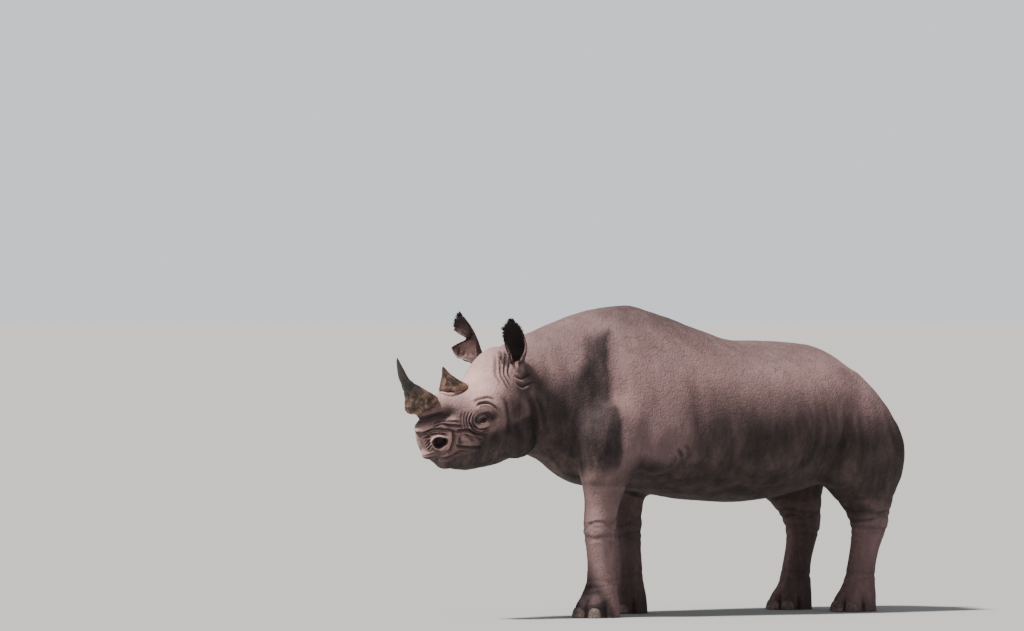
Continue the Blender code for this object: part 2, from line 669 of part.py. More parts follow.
def main():
    for obj in list(bpy.data.objects):
        bpy.data.objects.remove(obj)
    body = whole_body()
    thin(body, BODY_TRIANGLES)

    parts = {}
    part_body(body, parts)
    for hand, side in SIDES.items():
        parts["ear_" + hand] = ear(hand)
        parts["eye_" + hand] = eye("eye_" + hand, side)
    parts["horn_front"] = level_horn("horn_front", FRONT_HORN)
    parts["horn_rear"] = level_horn("horn_rear", REAR_HORN)
    parts["tail"] = tail()
    for name in ("ear_left", "ear_right", "eye_left", "eye_right", "horn_front", "horn_rear"):
        seat(parts[name], parts["head"])
    seat(parts["tail"], parts["trunk"])
    for leg in STANCE:
        for toe, turn, half in TOENAILS:
            name = "toenail_" + leg.replace("leg", "") + "_" + toe
            parts[name] = toenail(name, leg, turn, half)
            seat(parts[name], parts[leg.replace("leg", "foot")])

    hide = material("hide", (0.150, 0.112, 0.108), 0.85)
    horn = material("horn", (0.075, 0.050, 0.038), 0.55)
    nail = material("nail", (0.110, 0.090, 0.080), 0.60)
    wet = material("eyeball", (0.012, 0.009, 0.008), 0.08)
    for name, obj in parts.items():
        look = hide
        if name.startswith("horn"):
            look = horn
        if name.startswith("toenail"):
            look = nail
        if name.startswith("eye"):
            look = wet
        finish(obj, look)

    low = Vector([min((v.co[i] for o in parts.values() for v in o.data.vertices)) for i in range(3)])
    high = Vector([max((v.co[i] for o in parts.values() for v in o.data.vertices)) for i in range(3)])
    middle = (low + high) / 2
    for obj in parts.values():
        obj.data.transform(Matrix.Translation((-middle.x, -middle.y, 0)))


main()
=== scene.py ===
"""A life-size black rhinoceros: one wrinkled skin, horns, eyes, toenails, ear fringes and tail
bristles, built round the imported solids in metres. +X is forward, +Y the animal's left, +Z up.

While the body is built, x and y are counted from under the top of the withers; the finished
pieces are then moved onto the solids.
"""

import math

import bmesh
import bpy
import numpy as np
from bpy.props import FloatProperty, FloatVectorProperty, IntProperty, PointerProperty
from mathutils import Matrix, Vector
from mathutils.kdtree import KDTree


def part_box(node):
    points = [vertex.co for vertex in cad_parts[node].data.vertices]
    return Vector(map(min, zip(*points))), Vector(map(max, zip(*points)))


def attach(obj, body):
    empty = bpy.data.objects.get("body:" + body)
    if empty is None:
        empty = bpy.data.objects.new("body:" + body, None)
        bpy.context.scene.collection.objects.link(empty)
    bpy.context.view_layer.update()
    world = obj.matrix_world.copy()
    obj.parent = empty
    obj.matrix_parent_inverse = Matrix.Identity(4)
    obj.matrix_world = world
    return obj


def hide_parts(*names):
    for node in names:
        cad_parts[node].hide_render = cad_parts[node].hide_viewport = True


bl_info = {
    "name": "Black rhinoceros",
    "version": (1, 0, 0),
    "blender": (4, 5, 0),
    "location": "3D View > Sidebar > Rhinoceros",
    "description": "Builds a life-size black rhinoceros standing still",
    "category": "Object",
}

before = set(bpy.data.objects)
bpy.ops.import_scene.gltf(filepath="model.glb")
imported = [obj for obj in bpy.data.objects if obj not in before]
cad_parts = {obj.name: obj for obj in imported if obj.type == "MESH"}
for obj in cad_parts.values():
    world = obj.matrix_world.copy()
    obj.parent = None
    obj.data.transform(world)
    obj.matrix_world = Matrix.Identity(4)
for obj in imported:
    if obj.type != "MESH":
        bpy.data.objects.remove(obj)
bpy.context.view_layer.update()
NODES = sorted(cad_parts)
FLESH = [n for n in NODES if not n.startswith(("eye", "horn", "toenail"))]
SIDES = {"left": 1, "right": -1}
HEAD_AT = Vector((0.778, 0.05, 1.25))  # middle of the line between the two ear bases
HEAD_YAW = math.radians(9)
HEAD_PITCH = math.radians(20)
EYE_AT = Vector((0.318, 0.137, -0.164))  # left eye's centre in the head's own frame
EAR_AT = Vector((0.000, 0.133, -0.008))
EAR_HEIGHTS = {"left": 0.240, "right": 0.275}
EAR_LEAN = Vector((0.026, 0.187, 0.982))
EAR_OPENS = {"left": math.radians(28), "right": math.radians(-18)}
FLOOR_CUT = 0.06  # the leg lofts run this far below the floor before the soles are cut
# Trunk and neck: along, side shift, back, widest level, belly, half width, and the
# roundness of the section above and below its widest level (2 is an ellipse, more is boxier).
TRUNK = (
    (-1.485, 0.000, 0.95, 0.90, 0.85, 0.06, 2.0, 2.0),  # end of the buttocks
    (-1.445, 0.000, 1.045, 0.91, 0.78, 0.20, 2.0, 2.0),  # root of the tail
    (-1.360, 0.000, 1.160, 0.94, 0.72, 0.30, 2.0, 2.1),
    (-1.220, 0.000, 1.286, 0.96, 0.67, 0.375, 2.1, 2.1),  # croup
    (-1.050, 0.000, 1.358, 0.97, 0.62, 0.420, 2.2, 2.2),  # hip bones
    (-0.850, 0.000, 1.372, 0.95, 0.575, 0.452, 2.1, 2.2),  # loin
    (-0.620, 0.000, 1.378, 0.92, 0.555, 0.465, 2.0, 2.2),  # hollow of the back
    (-0.380, 0.000, 1.443, 0.92, 0.570, 0.452, 1.95, 2.2),  # ribs
    (-0.150, 0.000, 1.518, 0.93, 0.600, 0.418, 1.9, 2.2),  # girth
    (0.000, 0.000, 1.552, 0.94, 0.625, 0.390, 1.85, 2.1),  # withers
    (0.150, 0.000, 1.538, 0.96, 0.635, 0.360, 1.85, 2.0),  # shoulder
    (0.280, 0.002, 1.514, 0.98, 0.650, 0.318, 1.85, 1.9),  # chest
    (0.390, 0.008, 1.484, 1.01, 0.692, 0.272, 1.85, 1.8),
    (0.500, 0.016, 1.449, 1.05, 0.765, 0.232, 1.85, 1.8),  # neck
    (0.600, 0.026, 1.411, 1.08, 0.803, 0.206, 1.9, 1.8),
    (0.700, 0.038, 1.380, 1.10, 0.820, 0.186, 1.9, 1.8),  # nape
    (0.800, 0.050, 1.320, 1.10, 0.850, 0.140, 2.0, 2.0),
    (0.860, 0.056, 1.230, 1.10, 0.950, 0.070, 2.0, 2.0),
)
# Head, square to its own axis: along, top, widest level, bottom, half width, roundness
# above and below.
HEAD = (
    (-0.115, -0.010, -0.12, -0.30, 0.100, 2.0, 2.0),
    (-0.060, 0.080, -0.12, -0.41, 0.150, 2.0, 1.9),  # poll
    (0.020, 0.103, -0.14, -0.448, 0.166, 1.9, 1.9),
    (0.100, 0.085, -0.15, -0.455, 0.172, 1.9, 1.8),  # forehead
    (0.165, 0.036, -0.16, -0.452, 0.176, 2.0, 1.7),
    (0.220, 0.004, -0.17, -0.446, 0.176, 2.1, 1.7),  # cheek bones
    (0.270, -0.003, -0.17, -0.436, 0.168, 2.1, 1.7),
    (0.326, -0.004, -0.17, -0.426, 0.150, 2.1, 1.7),  # eyes, rear horn
    (0.390, -0.003, -0.17, -0.410, 0.126, 2.1, 1.8),
    (0.440, 0.000, -0.17, -0.388, 0.112, 2.1, 1.9),
    (0.490, -0.002, -0.17, -0.360, 0.105, 2.2, 2.0),  # front horn
    (0.540, -0.034, -0.18, -0.324, 0.098, 2.2, 2.1),
    (0.570, -0.070, -0.18, -0.290, 0.084, 2.2, 2.2),  # nostrils
    (0.592, -0.104, -0.18, -0.264, 0.062, 2.2, 2.2),
    (0.606, -0.140, -0.18, -0.230, 0.030, 2.0, 2.0),  # front of the muzzle
)
# Legs, level sections: height, forward, out from the middle plane, half length, half width.
FORELEG = (
    (1.16, 0.110, 0.215, 0.120, 0.060),
    (1.06, 0.125, 0.258, 0.190, 0.105),  # point of the shoulder
    (0.95, 0.110, 0.270, 0.205, 0.122),  # upper arm
    (0.84, 0.065, 0.264, 0.190, 0.122),
    (0.74, 0.030, 0.248, 0.152, 0.112),  # elbow
    (0.64, 0.028, 0.230, 0.112, 0.096),
    (0.54, 0.038, 0.218, 0.090, 0.084),  # forearm
    (0.43, 0.044, 0.211, 0.086, 0.082),  # wrist
    (0.34, 0.038, 0.208, 0.075, 0.074),
    (0.22, 0.030, 0.206, 0.073, 0.074),  # cannon
    (0.13, 0.036, 0.205, 0.088, 0.087),
    (0.06, 0.048, 0.205, 0.112, 0.108),
    (0.00, 0.055, 0.205, 0.122, 0.116),  # sole
    (-FLOOR_CUT, 0.055, 0.205, 0.118, 0.112),
)
HINDLEG = (
    (1.22, -1.120, 0.180, 0.160, 0.080),
    (1.08, -1.155, 0.225, 0.230, 0.140),  # hip
    (0.94, -1.190, 0.252, 0.276, 0.158),  # thigh
    (0.82, -1.212, 0.264, 0.292, 0.157),
    (0.71, -1.242, 0.258, 0.258, 0.138),  # knee
    (0.60, -1.286, 0.240, 0.185, 0.110),
    (0.51, -1.325, 0.224, 0.132, 0.092),
    (0.43, -1.345, 0.214, 0.105, 0.080),  # hock
    (0.34, -1.330, 0.208, 0.086, 0.074),
    (0.22, -1.300, 0.205, 0.078, 0.074),  # cannon
    (0.13, -1.288, 0.205, 0.090, 0.086),
    (0.06, -1.268, 0.205, 0.110, 0.106),
    (0.00, -1.258, 0.205, 0.120, 0.112),  # sole
    (-FLOOR_CUT, -1.258, 0.205, 0.116, 0.108),
)
LEG_BOXINESS = 2.5  # roundness of the upper leg's sections
BOXY_FROM = (0.5, 0.7)  # heights between which it comes in
# Horns, in the head's own frame: along, up, radius along the head, radius across it.
FRONT_HORN = (
    (0.505, -0.252, 0.056, 0.056),
    (0.514, -0.226, 0.076, 0.072),
    (0.519, -0.198, 0.083, 0.078),
    (0.517, -0.166, 0.083, 0.079),
    (0.532, -0.138, 0.074, 0.071),
    (0.558, -0.119, 0.061, 0.059),
    (0.584, -0.101, 0.047, 0.046),
    (0.607, -0.085, 0.036, 0.035),
    (0.622, -0.069, 0.029, 0.028),
    (0.637, -0.050, 0.0235, 0.0230),
    (0.651, -0.019, 0.0175, 0.0170),
    (0.660, 0.001, 0.0130, 0.0130),
    (0.669, 0.025, 0.0075, 0.0075),
    (0.675, 0.043, 0.0030, 0.0030),
)
# The ragged lower edge of each horn: its level under the horn's middle, how it rises to the rear,
# and the level where the horn turns smooth.
FRONT_RIM, REAR_RIM = (-0.196, 0.62, -0.090), (-0.116, 0.11, -0.060)
REAR_HORN = (
    (0.296, -0.190, 0.084, 0.060),
    (0.300, -0.136, 0.086, 0.062),
    (0.302, -0.104, 0.080, 0.0575),
    (0.310, -0.086, 0.071, 0.051),
    (0.330, -0.065, 0.048, 0.035),
    (0.350, -0.043, 0.026, 0.020),
    (0.366, -0.020, 0.0125, 0.0105),
    (0.376, -0.002, 0.0040, 0.0040),
)
# Tail: along, up, half thickness, half width.
TAIL = (
    (-1.395, 1.065, 0.060, 0.050),
    (-1.455, 1.060, 0.052, 0.046),
    (-1.512, 1.015, 0.040, 0.036),
    (-1.540, 0.935, 0.032, 0.029),
    (-1.550, 0.840, 0.026, 0.025),
    (-1.553, 0.730, 0.022, 0.022),
    (-1.552, 0.640, 0.021, 0.020),
    (-1.550, 0.560, 0.032, 0.021),
    (-1.548, 0.480, 0.036, 0.020),
    (-1.547, 0.415, 0.020, 0.013),
    (-1.547, 0.385, 0.006, 0.005),
)
# Ear: part of its height, width of its inner and of its outer half, depth of the cup, and how
# far the wall wraps round on the inner and on the outer side, in degrees.
EAR = (
    (0.00, 0.034, 0.034, 0.034, 168, 168),
    (0.12, 0.034, 0.037, 0.036, 158, 162),
    (0.24, 0.036, 0.047, 0.042, 134, 134),
    (0.36, 0.044, 0.058, 0.046, 112, 112),
    (0.50, 0.053, 0.062, 0.043, 96, 98),
    (0.64, 0.057, 0.059, 0.038, 87, 90),
    (0.78, 0.051, 0.051, 0.030, 80, 82),
    (0.90, 0.036, 0.036, 0.021, 72, 72),
    (0.98, 0.018, 0.018, 0.012, 66, 66),
    (1.00, 0.008, 0.008, 0.007, 60, 60),
)
EAR_FLARE = {"left": (1.0, 1.0), "right": (0.55, 1.50)}  # spread of the inner and outer halves
# Tear in the right ear's outer edge: parts of the ear's height where it starts, is deepest, begins
# to heal and is whole again, the share of the width that is gone, and the degrees of the wrap.
EAR_NOTCH = (0.535, 0.565, 0.60, 0.80, 0.62, 22)
LOBE_FLARE = 1.35  # of the outer half below the tear
LOBE_RISES = (0.12, 0.32)  # parts of the ear's height between which the lobe spreads
STANCE_TOP, STANCE_RUN = 1.16, 0.46  # a step moves the leg from this height down, over this run
# Each leg's loft, its side, and how far its foot has stepped forward.
STANCE = {
    "foreleg_left": (FORELEG, 1, 0.250),
    "foreleg_right": (FORELEG, -1, -0.190),
    "hindleg_left": (HINDLEG, 1, 0.000),
    "hindleg_right": (HINDLEG, -1, 0.110),
}

RINGS = {"trunk": 110, "head": 90, "leg": 70, "ear": 64, "ear_hole": 30, "ear_rim": 160, "tail": 90}
BODY_SIDES, LEG_SIDES, TAIL_SIDES = 72, 48, 40  # points round each ring
EAR_STEPS, EAR_HOLE_STEPS = 40, 24
# Clay of each part: edge of the blocks it is welded from, and rounds of smoothing.
BARREL_CLAY, SKULL_CLAY, EAR_CLAY = (0.018, 14), (0.011, 10), (0.0022, 2)
SKIN_SMOOTHING = 11
HEAD_FROM = -0.13  # the head's region starts here along its own frame
FEET_BELOW = 0.20  # the feet's region ends at this height
EAR_INSET = 0.3  # share of the skin's inset that the thin ears take
# Share of the skin's triangles that each of its regions keeps.
THINNING = {"body": 0.42, "head": 0.16, "ears": 0.08, "face": 0.24, "feet": 0.10}
TAIL_ROOT = (-1.470, 0, 1.045)  # middle of its join with the body
DOCK_END = 0.520  # height where the fleshy tail ends in its bristles
DOCK_TIP = 0.011  # its radius there
NAIL_HEIGHT, NAIL_THICKNESS = 0.052, 0.032
NAIL_STEP = 0.007  # how far it stands out of the foot
NAIL_LIFT = 0.003  # clear of the floor
NAIL_COLUMNS, NAIL_ROWS = 31, 21
NAIL_EDGE = 40  # degrees past which a nail's edge stays sharp
HORN_RINGS, HORN_SIDES = 150, 128
HORN_BLUNT = 0.045  # share of its height over which a horn rounds off
EYE_RINGS, EYE_SIDES = 48, 64
EYE_SUNK = 0.012  # share by which the ball is smaller than its socket
EYE_DOME, EYE_DOME_SPREAD = 0.0011, 0.42  # height of the clear dome, and its reach in radians
# Clumps of hair on each ear: on the outer rim or not, part of its height, size, hairs.
FRINGE = {
    "left": (
        *((0, 0.995, 1.05, 130), (1, 0.985, 1.00, 110), (0, 0.90, 0.80, 44), (0, 0.83, 1.00, 60)),
        *((0, 0.76, 0.60, 36), (0, 0.68, 0.55, 30), (0, 0.60, 0.40, 22), (1, 0.92, 0.70, 34)),
        *((1, 0.86, 0.85, 34), (1, 0.79, 0.62, 26), (1, 0.73, 0.50, 20), (1, 0.65, 0.32, 16)),
    ),
    "right": (
        *((0, 0.995, 1.00, 120), (1, 0.985, 0.95, 90), (1, 0.92, 0.75, 44), (1, 0.86, 0.70, 34)),
        *((1, 0.79, 0.40, 20), (0, 0.92, 0.55, 30), (0, 0.84, 0.40, 20), (0, 0.72, 0.30, 14)),
    ),
}
FRINGE_DENSITY = 1.7
BRISTLES, LASHES = 420, 46  # hairs at the tail's end, and over each eye
HAIR_SEEDS = {"left": 11, "right": 12, "tail": 13, "lashes": 14}
TUFT_SIDES = 3
TUFT_PATCH = 0.003  # width of one tuft on the bake map
# Toenails: name, degrees round the foot from its front, half width; and the clefts between the toes.
TOENAILS = (("inner", -52, 0.034), ("middle", 0, 0.044), ("outer", 52, 0.034))
TOE_CLEFTS = (-26, 26, -84, 84)

VIEW_AZIMUTH = 147  # degrees round from the animal's right side
VIEW_DISTANCE = 40.0
VIEW_WIDTH = 5.12  # metres across the view at the animal
WITHERS_TOP = 1.55
WITHERS_RIGHT, WITHERS_UP = 0.565, 0.0525  # of the withers from the middle of the view
FLOOR_SIDES = 96
VIEW_REACH = 4000.0  # how far the camera sees, past the floor's edge
SENSOR = 36.0  # width of the camera's film, in millimetres
SKY_STRENGTH, SKY_SEEN = 0.34, 1.05  # as a light, and as a backdrop
SKY_COLOUR, LIGHT_COLOUR = (0.84, 0.88, 0.93), (1.0, 0.955, 0.90)
# Each light: name, the way it shines, strength, spread in degrees.
LIGHTS = (
    ("key", (-0.50, 0.02, -0.865), 6.2, 7),
    ("fill", (-0.45, -0.85, -0.30), 0.22, 70),
)
# Dark colours of small places; the ears' and the horns' are painted shade.
EAR_SHADOW, HORN_SHADE, HAIR_STREAK = (0.006, 0.004, 0.004), (0.010, 0.007, 0.006), (0.030, 0.020, 0.016)
PUPIL, IRIS_RAYS, IRIS_RIM = (0.0025, 0.002, 0.002), (0.006, 0.004, 0.003), (0.004, 0.003, 0.003)
DUSKY_WHITE = (0.10, 0.070, 0.060)  # edge of the eyeball


# ---------------------------------------------------------------- curves and lofts
NOISE_CELLS = 32  # along each edge of the block that the noise repeats


def smooth_rows(stations, count):
    """Rows read evenly from a curve through the stations that never overshoots them."""
    rows = np.array(stations, float)
    chords = np.linalg.norm(np.diff(rows[:, :3], axis=0), axis=1)
    place = np.concatenate([[0], np.cumsum(chords)])
    steps = np.diff(place)[:, None]
    slopes = np.diff(rows, axis=0) / steps
    same_way = slopes[1:] * slopes[:-1] > 0
    mean = 2 * slopes[1:] * slopes[:-1] / np.where(same_way, slopes[1:] + slopes[:-1], 1)
    tangents = np.vstack([slopes[:1], np.where(same_way, mean, 0), slopes[-1:]])
    at = np.linspace(0, place[-1], count)
    left = np.clip(np.searchsorted(place, at, "right") - 1, 0, len(steps) - 1)
    t = ((at - place[left]) / steps[left, 0])[:, None]
    step = steps[left]
    return (
        (2 * t**3 - 3 * t**2 + 1) * rows[left]
        + (t**3 - 2 * t**2 + t) * step * tangents[left]
        + (3 * t**2 - 2 * t**3) * rows[left + 1]
        + (t**3 - t**2) * step * tangents[left + 1]
    )


def ramp(value, start, end):
    """0 at the start, 1 at the end and beyond, eased; works on numbers and arrays."""
    t = np.clip((value - start) / (end - start), 0, 1)
    return t * t * (3 - 2 * t)


def bell(distance, width):
    return np.exp(-((distance / width) ** 2))


def on_line(at, line):
    """Read off a line of (place, value) points."""
    return np.interp(at, *np.array(line).T)


def lattice_noise(points, size, seed):
    """Smooth noise between -1 and 1 whose features are about this size."""
    table = np.random.default_rng(seed).uniform(-1, 1, (NOISE_CELLS,) * 3)
    scaled = np.asarray(points) / size
    cell = np.floor(scaled).astype(int)
    part = scaled - cell
    part = part * part * (3 - 2 * part)
    total = np.zeros(len(scaled))
    for corner in range(8):
        offset = np.array([corner & 1, corner >> 1 & 1, corner >> 2 & 1])
        share = np.prod(np.where(offset, part, 1 - part), axis=1)
        i, j, k = ((cell + offset) % NOISE_CELLS).T
        total += share * table[i, j, k]
    return total


def circle(sides):
    """Cosines and sines of even steps round a circle."""
    turn = np.arange(sides) * 2 * math.pi / sides
    return np.cos(turn), np.sin(turn)


def rounded_section(top, widest, bottom, half_width, above, below, sides):
    """Points (out, up) round a section, from its top over the left side."""
    cos, sin = circle(sides)
    power = 2 / np.where(cos > 0, above, below)
    reach = np.where(cos > 0, top - widest, widest - bottom)
    out = half_width * np.sign(sin) * np.abs(sin) ** power
    up = widest + reach * np.sign(cos) * np.abs(cos) ** power
    return np.stack([out, up], 1)


def mesh_object(name, points, faces):
    """A mesh object with its faces turned outwards."""
    mesh = bpy.data.meshes.new(name)
    mesh.from_pydata(np.asarray(points).tolist(), [], faces)
    edit(mesh, lambda made: bmesh.ops.recalc_face_normals(made, faces=made.faces))
    return placed(name, mesh)


def edit(mesh, change):
    """Changes a mesh as a bmesh."""
    made = bmesh.new()
    made.from_mesh(mesh)
    change(made)
    made.to_mesh(mesh)
    made.free()


def placed(name, mesh):
    obj = bpy.data.objects.new(name, mesh)
    bpy.context.scene.collection.objects.link(obj)
    return obj


def from_bmesh(name, made):
    """An object of what was made in a bmesh, which is used up."""
    mesh = bpy.data.meshes.new(name)
    made.to_mesh(mesh)
    made.free()
    return placed(name, mesh)


def loft(name, rings):
    """A closed body through equal rings of points, with a flat cap at each end."""
    count, sides = len(rings), len(rings[0])
    faces = [tuple(range(sides)), tuple((count - 1) * sides + j for j in range(sides))]
    for i in range(count - 1):
        for j in range(sides):
            near, far = i * sides + j, i * sides + (j + 1) % sides
            faces.append((near, far, far + sides, near + sides))
    return mesh_object(name, np.concatenate(rings), faces)


def read(items, field, size=3, kind=np.float32):
    """One field of all the items, a row for each."""
    out = np.empty(size * len(items), kind)
    items.foreach_get(field, out)
    return out.reshape(-1, size)


def coordinates(obj):
    return read(obj.data.vertices, "co").astype(float)


def set_coordinates(obj, points):
    obj.data.vertices.foreach_set("co", np.asarray(points, np.float32).ravel())
    obj.data.update()


def normals_of(obj):
    return read(obj.data.vertex_normals, "vector").astype(float)


def moved(points, matrix):
    turn = np.array(matrix)
    return np.asarray(points) @ turn[:3, :3].T + turn[:3, 3]


# ---------------------------------------------------------------- forms under the skin
def trunk_form():
    rings = []
    for x, shift, *section in smooth_rows(TRUNK, RINGS["trunk"]):
        section = rounded_section(*section, BODY_SIDES)
        rings.append(np.column_stack([np.full(len(section), x), section[:, 0] + shift, section[:, 1]]))
    return loft("trunk_form", rings)


def head_matrix():
    """The head's own frame: x along its axis to the nose, y to its left, z up."""
    turn = Matrix.Rotation(HEAD_YAW, 4, "Z") @ Matrix.Rotation(HEAD_PITCH, 4, "Y")
    return Matrix.Translation(HEAD_AT) @ turn


def head_form():
    rings = []
    for along, *section in smooth_rows(HEAD, RINGS["head"]):
        section = rounded_section(*section, BODY_SIDES)
        rings.append(np.column_stack([np.full(len(section), along), section]))
    form = loft("head_form", rings)
    form.data.transform(head_matrix())
    return form


def straight_ramp(value, start, end):
    """0 at the start, 1 at the end and beyond, straight between; for numbers."""
    return max(0.0, min(1.0, (value - start) / (end - start)))


def stepped(leg, x, z):
    """Where a point of the leg at this height goes when its foot steps forward."""
    return x + STANCE[leg][2] * straight_ramp(z, STANCE_TOP, STANCE_TOP - STANCE_RUN)


def sole_of(leg):
    """The leg's section on the floor: middle along and out, half length, half width."""
    x, *rest = next(row[1:] for row in STANCE[leg][0] if row[0] == 0)
    return stepped(leg, x, 0), *rest


def leg_form(name):
    stations, side, _ = STANCE[name]
    cos, sin = circle(LEG_SIDES)
    rings = []
    for z, x, out, length, width in smooth_rows(stations, RINGS["leg"]):
        power = 2 / (2 + (LEG_BOXINESS - 2) * straight_ramp(z, *BOXY_FROM))
        lengthways = stepped(name, x, z) + length * np.sign(cos) * np.abs(cos) ** power
        outwards = side * (out + width * np.sign(sin) * np.abs(sin) ** power)
        rings.append(np.column_stack([lengthways, outwards, np.full(LEG_SIDES, z)]))
    return loft(name + "_form", rings)


def mass(name, at, radii, frame_of=None, tilt=(0, 0, 0)):
    """An egg-shaped muscle or fold of the given half sizes."""
    form = bmesh.new()
    bmesh.ops.create_icosphere(form, subdivisions=5, radius=1)
    shape = (
        Matrix.Translation(at)
        @ Matrix.Rotation(tilt[2], 4, "Z")
        @ Matrix.Rotation(tilt[1], 4, "Y")
        @ Matrix.Rotation(tilt[0], 4, "X")
        @ Matrix.Diagonal((*radii, 1))
    )
    form.transform((frame_of or Matrix()) @ shape)
    return from_bmesh(name, form)


# Muscles and bones that stand out from the barrel: middle, half sizes, and how each is rolled,
# pitched and yawed, all for the left side.
MUSCLES = (
    ("blade", (0.105, 0.225, 1.16), (0.150, 0.105, 0.27), (0.32, -0.35, 0)),
    ("upper_arm", (0.160, 0.265, 0.98), (0.200, 0.100, 0.20), (0.1, 0.3, 0)),
    ("triceps", (0.010, 0.295, 0.92), (0.170, 0.105, 0.22), (0.1, -0.2, 0)),
    ("hip", (-1.04, 0.25, 1.175), (0.17, 0.105, 0.09), (0.6, 0.15, 0.3)),
    ("stifle", (-1.060, 0.305, 0.770), (0.13, 0.085, 0.15), (0, 0.5, 0)),
)
# Bosses under the horns and lips, in the head's own frame: middle, half sizes, pitch.
MIDDLE_BOSSES = (
    ("front_boss", (0.510, 0, -0.062), (0.104, 0.087, 0.062), 0.5),
    ("rear_boss", (0.342, 0, -0.034), (0.085, 0.076, 0.048), 0),
    ("saddle", (0.440, 0, -0.030), (0.075, 0.062, 0.052), 0),
    ("upper_lip", (0.566, 0, -0.232), (0.040, 0.060, 0.056), 0.5),
    ("lower_lip", (0.478, 0, -0.312), (0.070, 0.064, 0.046), 0.30),
)
# Brows, cheeks, nostril mounds and ear roots of the left side: middle, half sizes, pitch, yaw.
SIDE_BOSSES = (
    ("brow", (0.318, 0.112, -0.112), (0.062, 0.042, 0.036), 0.1, -0.3),
    ("cheek_bone", (0.215, 0.126, -0.200), (0.150, 0.056, 0.062), 0.25, -0.1),
    ("jaw_muscle", (0.100, 0.096, -0.320), (0.140, 0.078, 0.128), 0, 0),
    ("nostril_mound", (0.540, 0.062, -0.185), (0.046, 0.042, 0.050), 0, 0),
    ("ear_root", (-0.014, 0.108, -0.034), (0.060, 0.054, 0.052), 0, 0),
)


def body_masses():
    return [
        mass(name, (x, side * y, z), radii, tilt=(side * roll, pitch, side * yaw))
        for side in SIDES.values()
        for name, (x, y, z), radii, (roll, pitch, yaw) in MUSCLES
    ]


def head_masses():
    head = head_matrix()
    middle = [mass(name, at, radii, head, (0, pitch, 0)) for name, at, radii, pitch in MIDDLE_BOSSES]
    return middle + [
        mass(name, (x, side * y, z), radii, head, (0, pitch, side * yaw))
        for side in SIDES.values()
        for name, (x, y, z), radii, pitch, yaw in SIDE_BOSSES
    ]


def settle(obj):
    """Applies the object's modifiers to its mesh."""
    graph = bpy.context.evaluated_depsgraph_get()
    mesh = bpy.data.meshes.new_from_object(obj.evaluated_get(graph), depsgraph=graph)
    obj.modifiers.clear()
    old, obj.data = obj.data, mesh
    bpy.data.meshes.remove(old)


def clay(name, forms, voxel, passes):
    """Welds the forms into one closed body and smooths it."""
    joined = bmesh.new()
    for form in forms:
        joined.from_mesh(form.data)
        bpy.data.objects.remove(form)
    obj = from_bmesh(name, joined)
    weld = obj.modifiers.new("weld", "REMESH")
    weld.mode = "VOXEL"
    weld.voxel_size = voxel
    soften = obj.modifiers.new("soften", "SMOOTH")
    soften.factor = 0.5
    soften.iterations = passes
    settle(obj)
    return obj


def cut(obj, tool, how):
    """A Boolean of two closed bodies, applied at once; the tool is used up."""
    step = obj.modifiers.new(how.lower(), "BOOLEAN")
    step.operation, step.solver, step.object = how, "MANIFOLD", tool
    settle(obj)
    bpy.data.objects.remove(tool)
    if not len(obj.data.polygons):
        raise RuntimeError(f"the {how} on {obj.name} left nothing")


def slab(name, low, high):
    made = bmesh.new()
    bmesh.ops.create_cube(made, size=1)
    low, high = Vector(low), Vector(high)
    made.transform(Matrix.Translation((low + high) / 2) @ Matrix.Diagonal((*(high - low), 1)))
    return from_bmesh(name, made)


def ear_frame(hand):
    """The ear's own frame: z up the ear, x the way its hollow opens."""
    side = SIDES[hand]
    up = Vector((EAR_LEAN.x, side * EAR_LEAN.y, EAR_LEAN.z)).normalized()
    opens = Vector((math.cos(EAR_OPENS[hand]), side * math.sin(EAR_OPENS[hand]), 0))
    opens = (opens - up * opens.dot(up)).normalized()
    across = up.cross(opens)
    turn = Matrix((opens, across, up)).transposed().to_4x4()
    return head_matrix() @ Matrix.Translation((EAR_AT.x, side * EAR_AT.y, EAR_AT.z)) @ turn


def ear_rings(hand, wall, count, steps):
    """Crescent rings up the ear: round the back of the cup and home again inside it."""
    rings = []
    lobe, deepest, healed, whole, share, bite = EAR_NOTCH
    for part, inner, outer, depth, inner_wrap, outer_wrap in smooth_rows(EAR, count):
        grown = min(1.0, part / 0.3)
        inner *= 1 + (EAR_FLARE[hand][0] - 1) * grown
        outer *= 1 + (EAR_FLARE[hand][1] - 1) * grown
        if hand == "right":
            tear_starts = straight_ramp(part, lobe, deepest)
            torn = tear_starts - straight_ramp(part, healed, whole)
            outer *= 1 - share * torn
            outer_wrap -= bite * torn
            outer *= 1 + (LOBE_FLARE - 1) * straight_ramp(part, *LOBE_RISES) * (1 - tear_starts)
        turn = np.radians(np.linspace(-inner_wrap, outer_wrap, steps))
        half = np.where(turn < 0, inner, outer)
        thick = min(wall * (1 - 0.35 * part), 0.45 * depth)
        outside = np.stack([-depth * np.cos(turn), half * np.sin(turn)], 1)
        inside = np.stack([-(depth - thick) * np.cos(turn), (half - thick) * np.sin(turn)], 1)[::-1]
        ring = np.concatenate([outside, inside])
        ring[:, 1] *= SIDES[hand]
        rings.append(np.column_stack([ring, np.full(len(ring), part * EAR_HEIGHTS[hand])]))
    return rings


def ear(hand, wall):
    """A leaf-shaped cup on a round root; the right one is torn."""
    cup = loft("cup", ear_rings(hand, wall, RINGS["ear"], EAR_STEPS))
    root = mass("root", (0, 0, -0.012), (0.035, 0.035, 0.044))
    whole = clay("ear_" + hand, [cup, root], *EAR_CLAY)
    whole.data.transform(ear_frame(hand))
    return whole


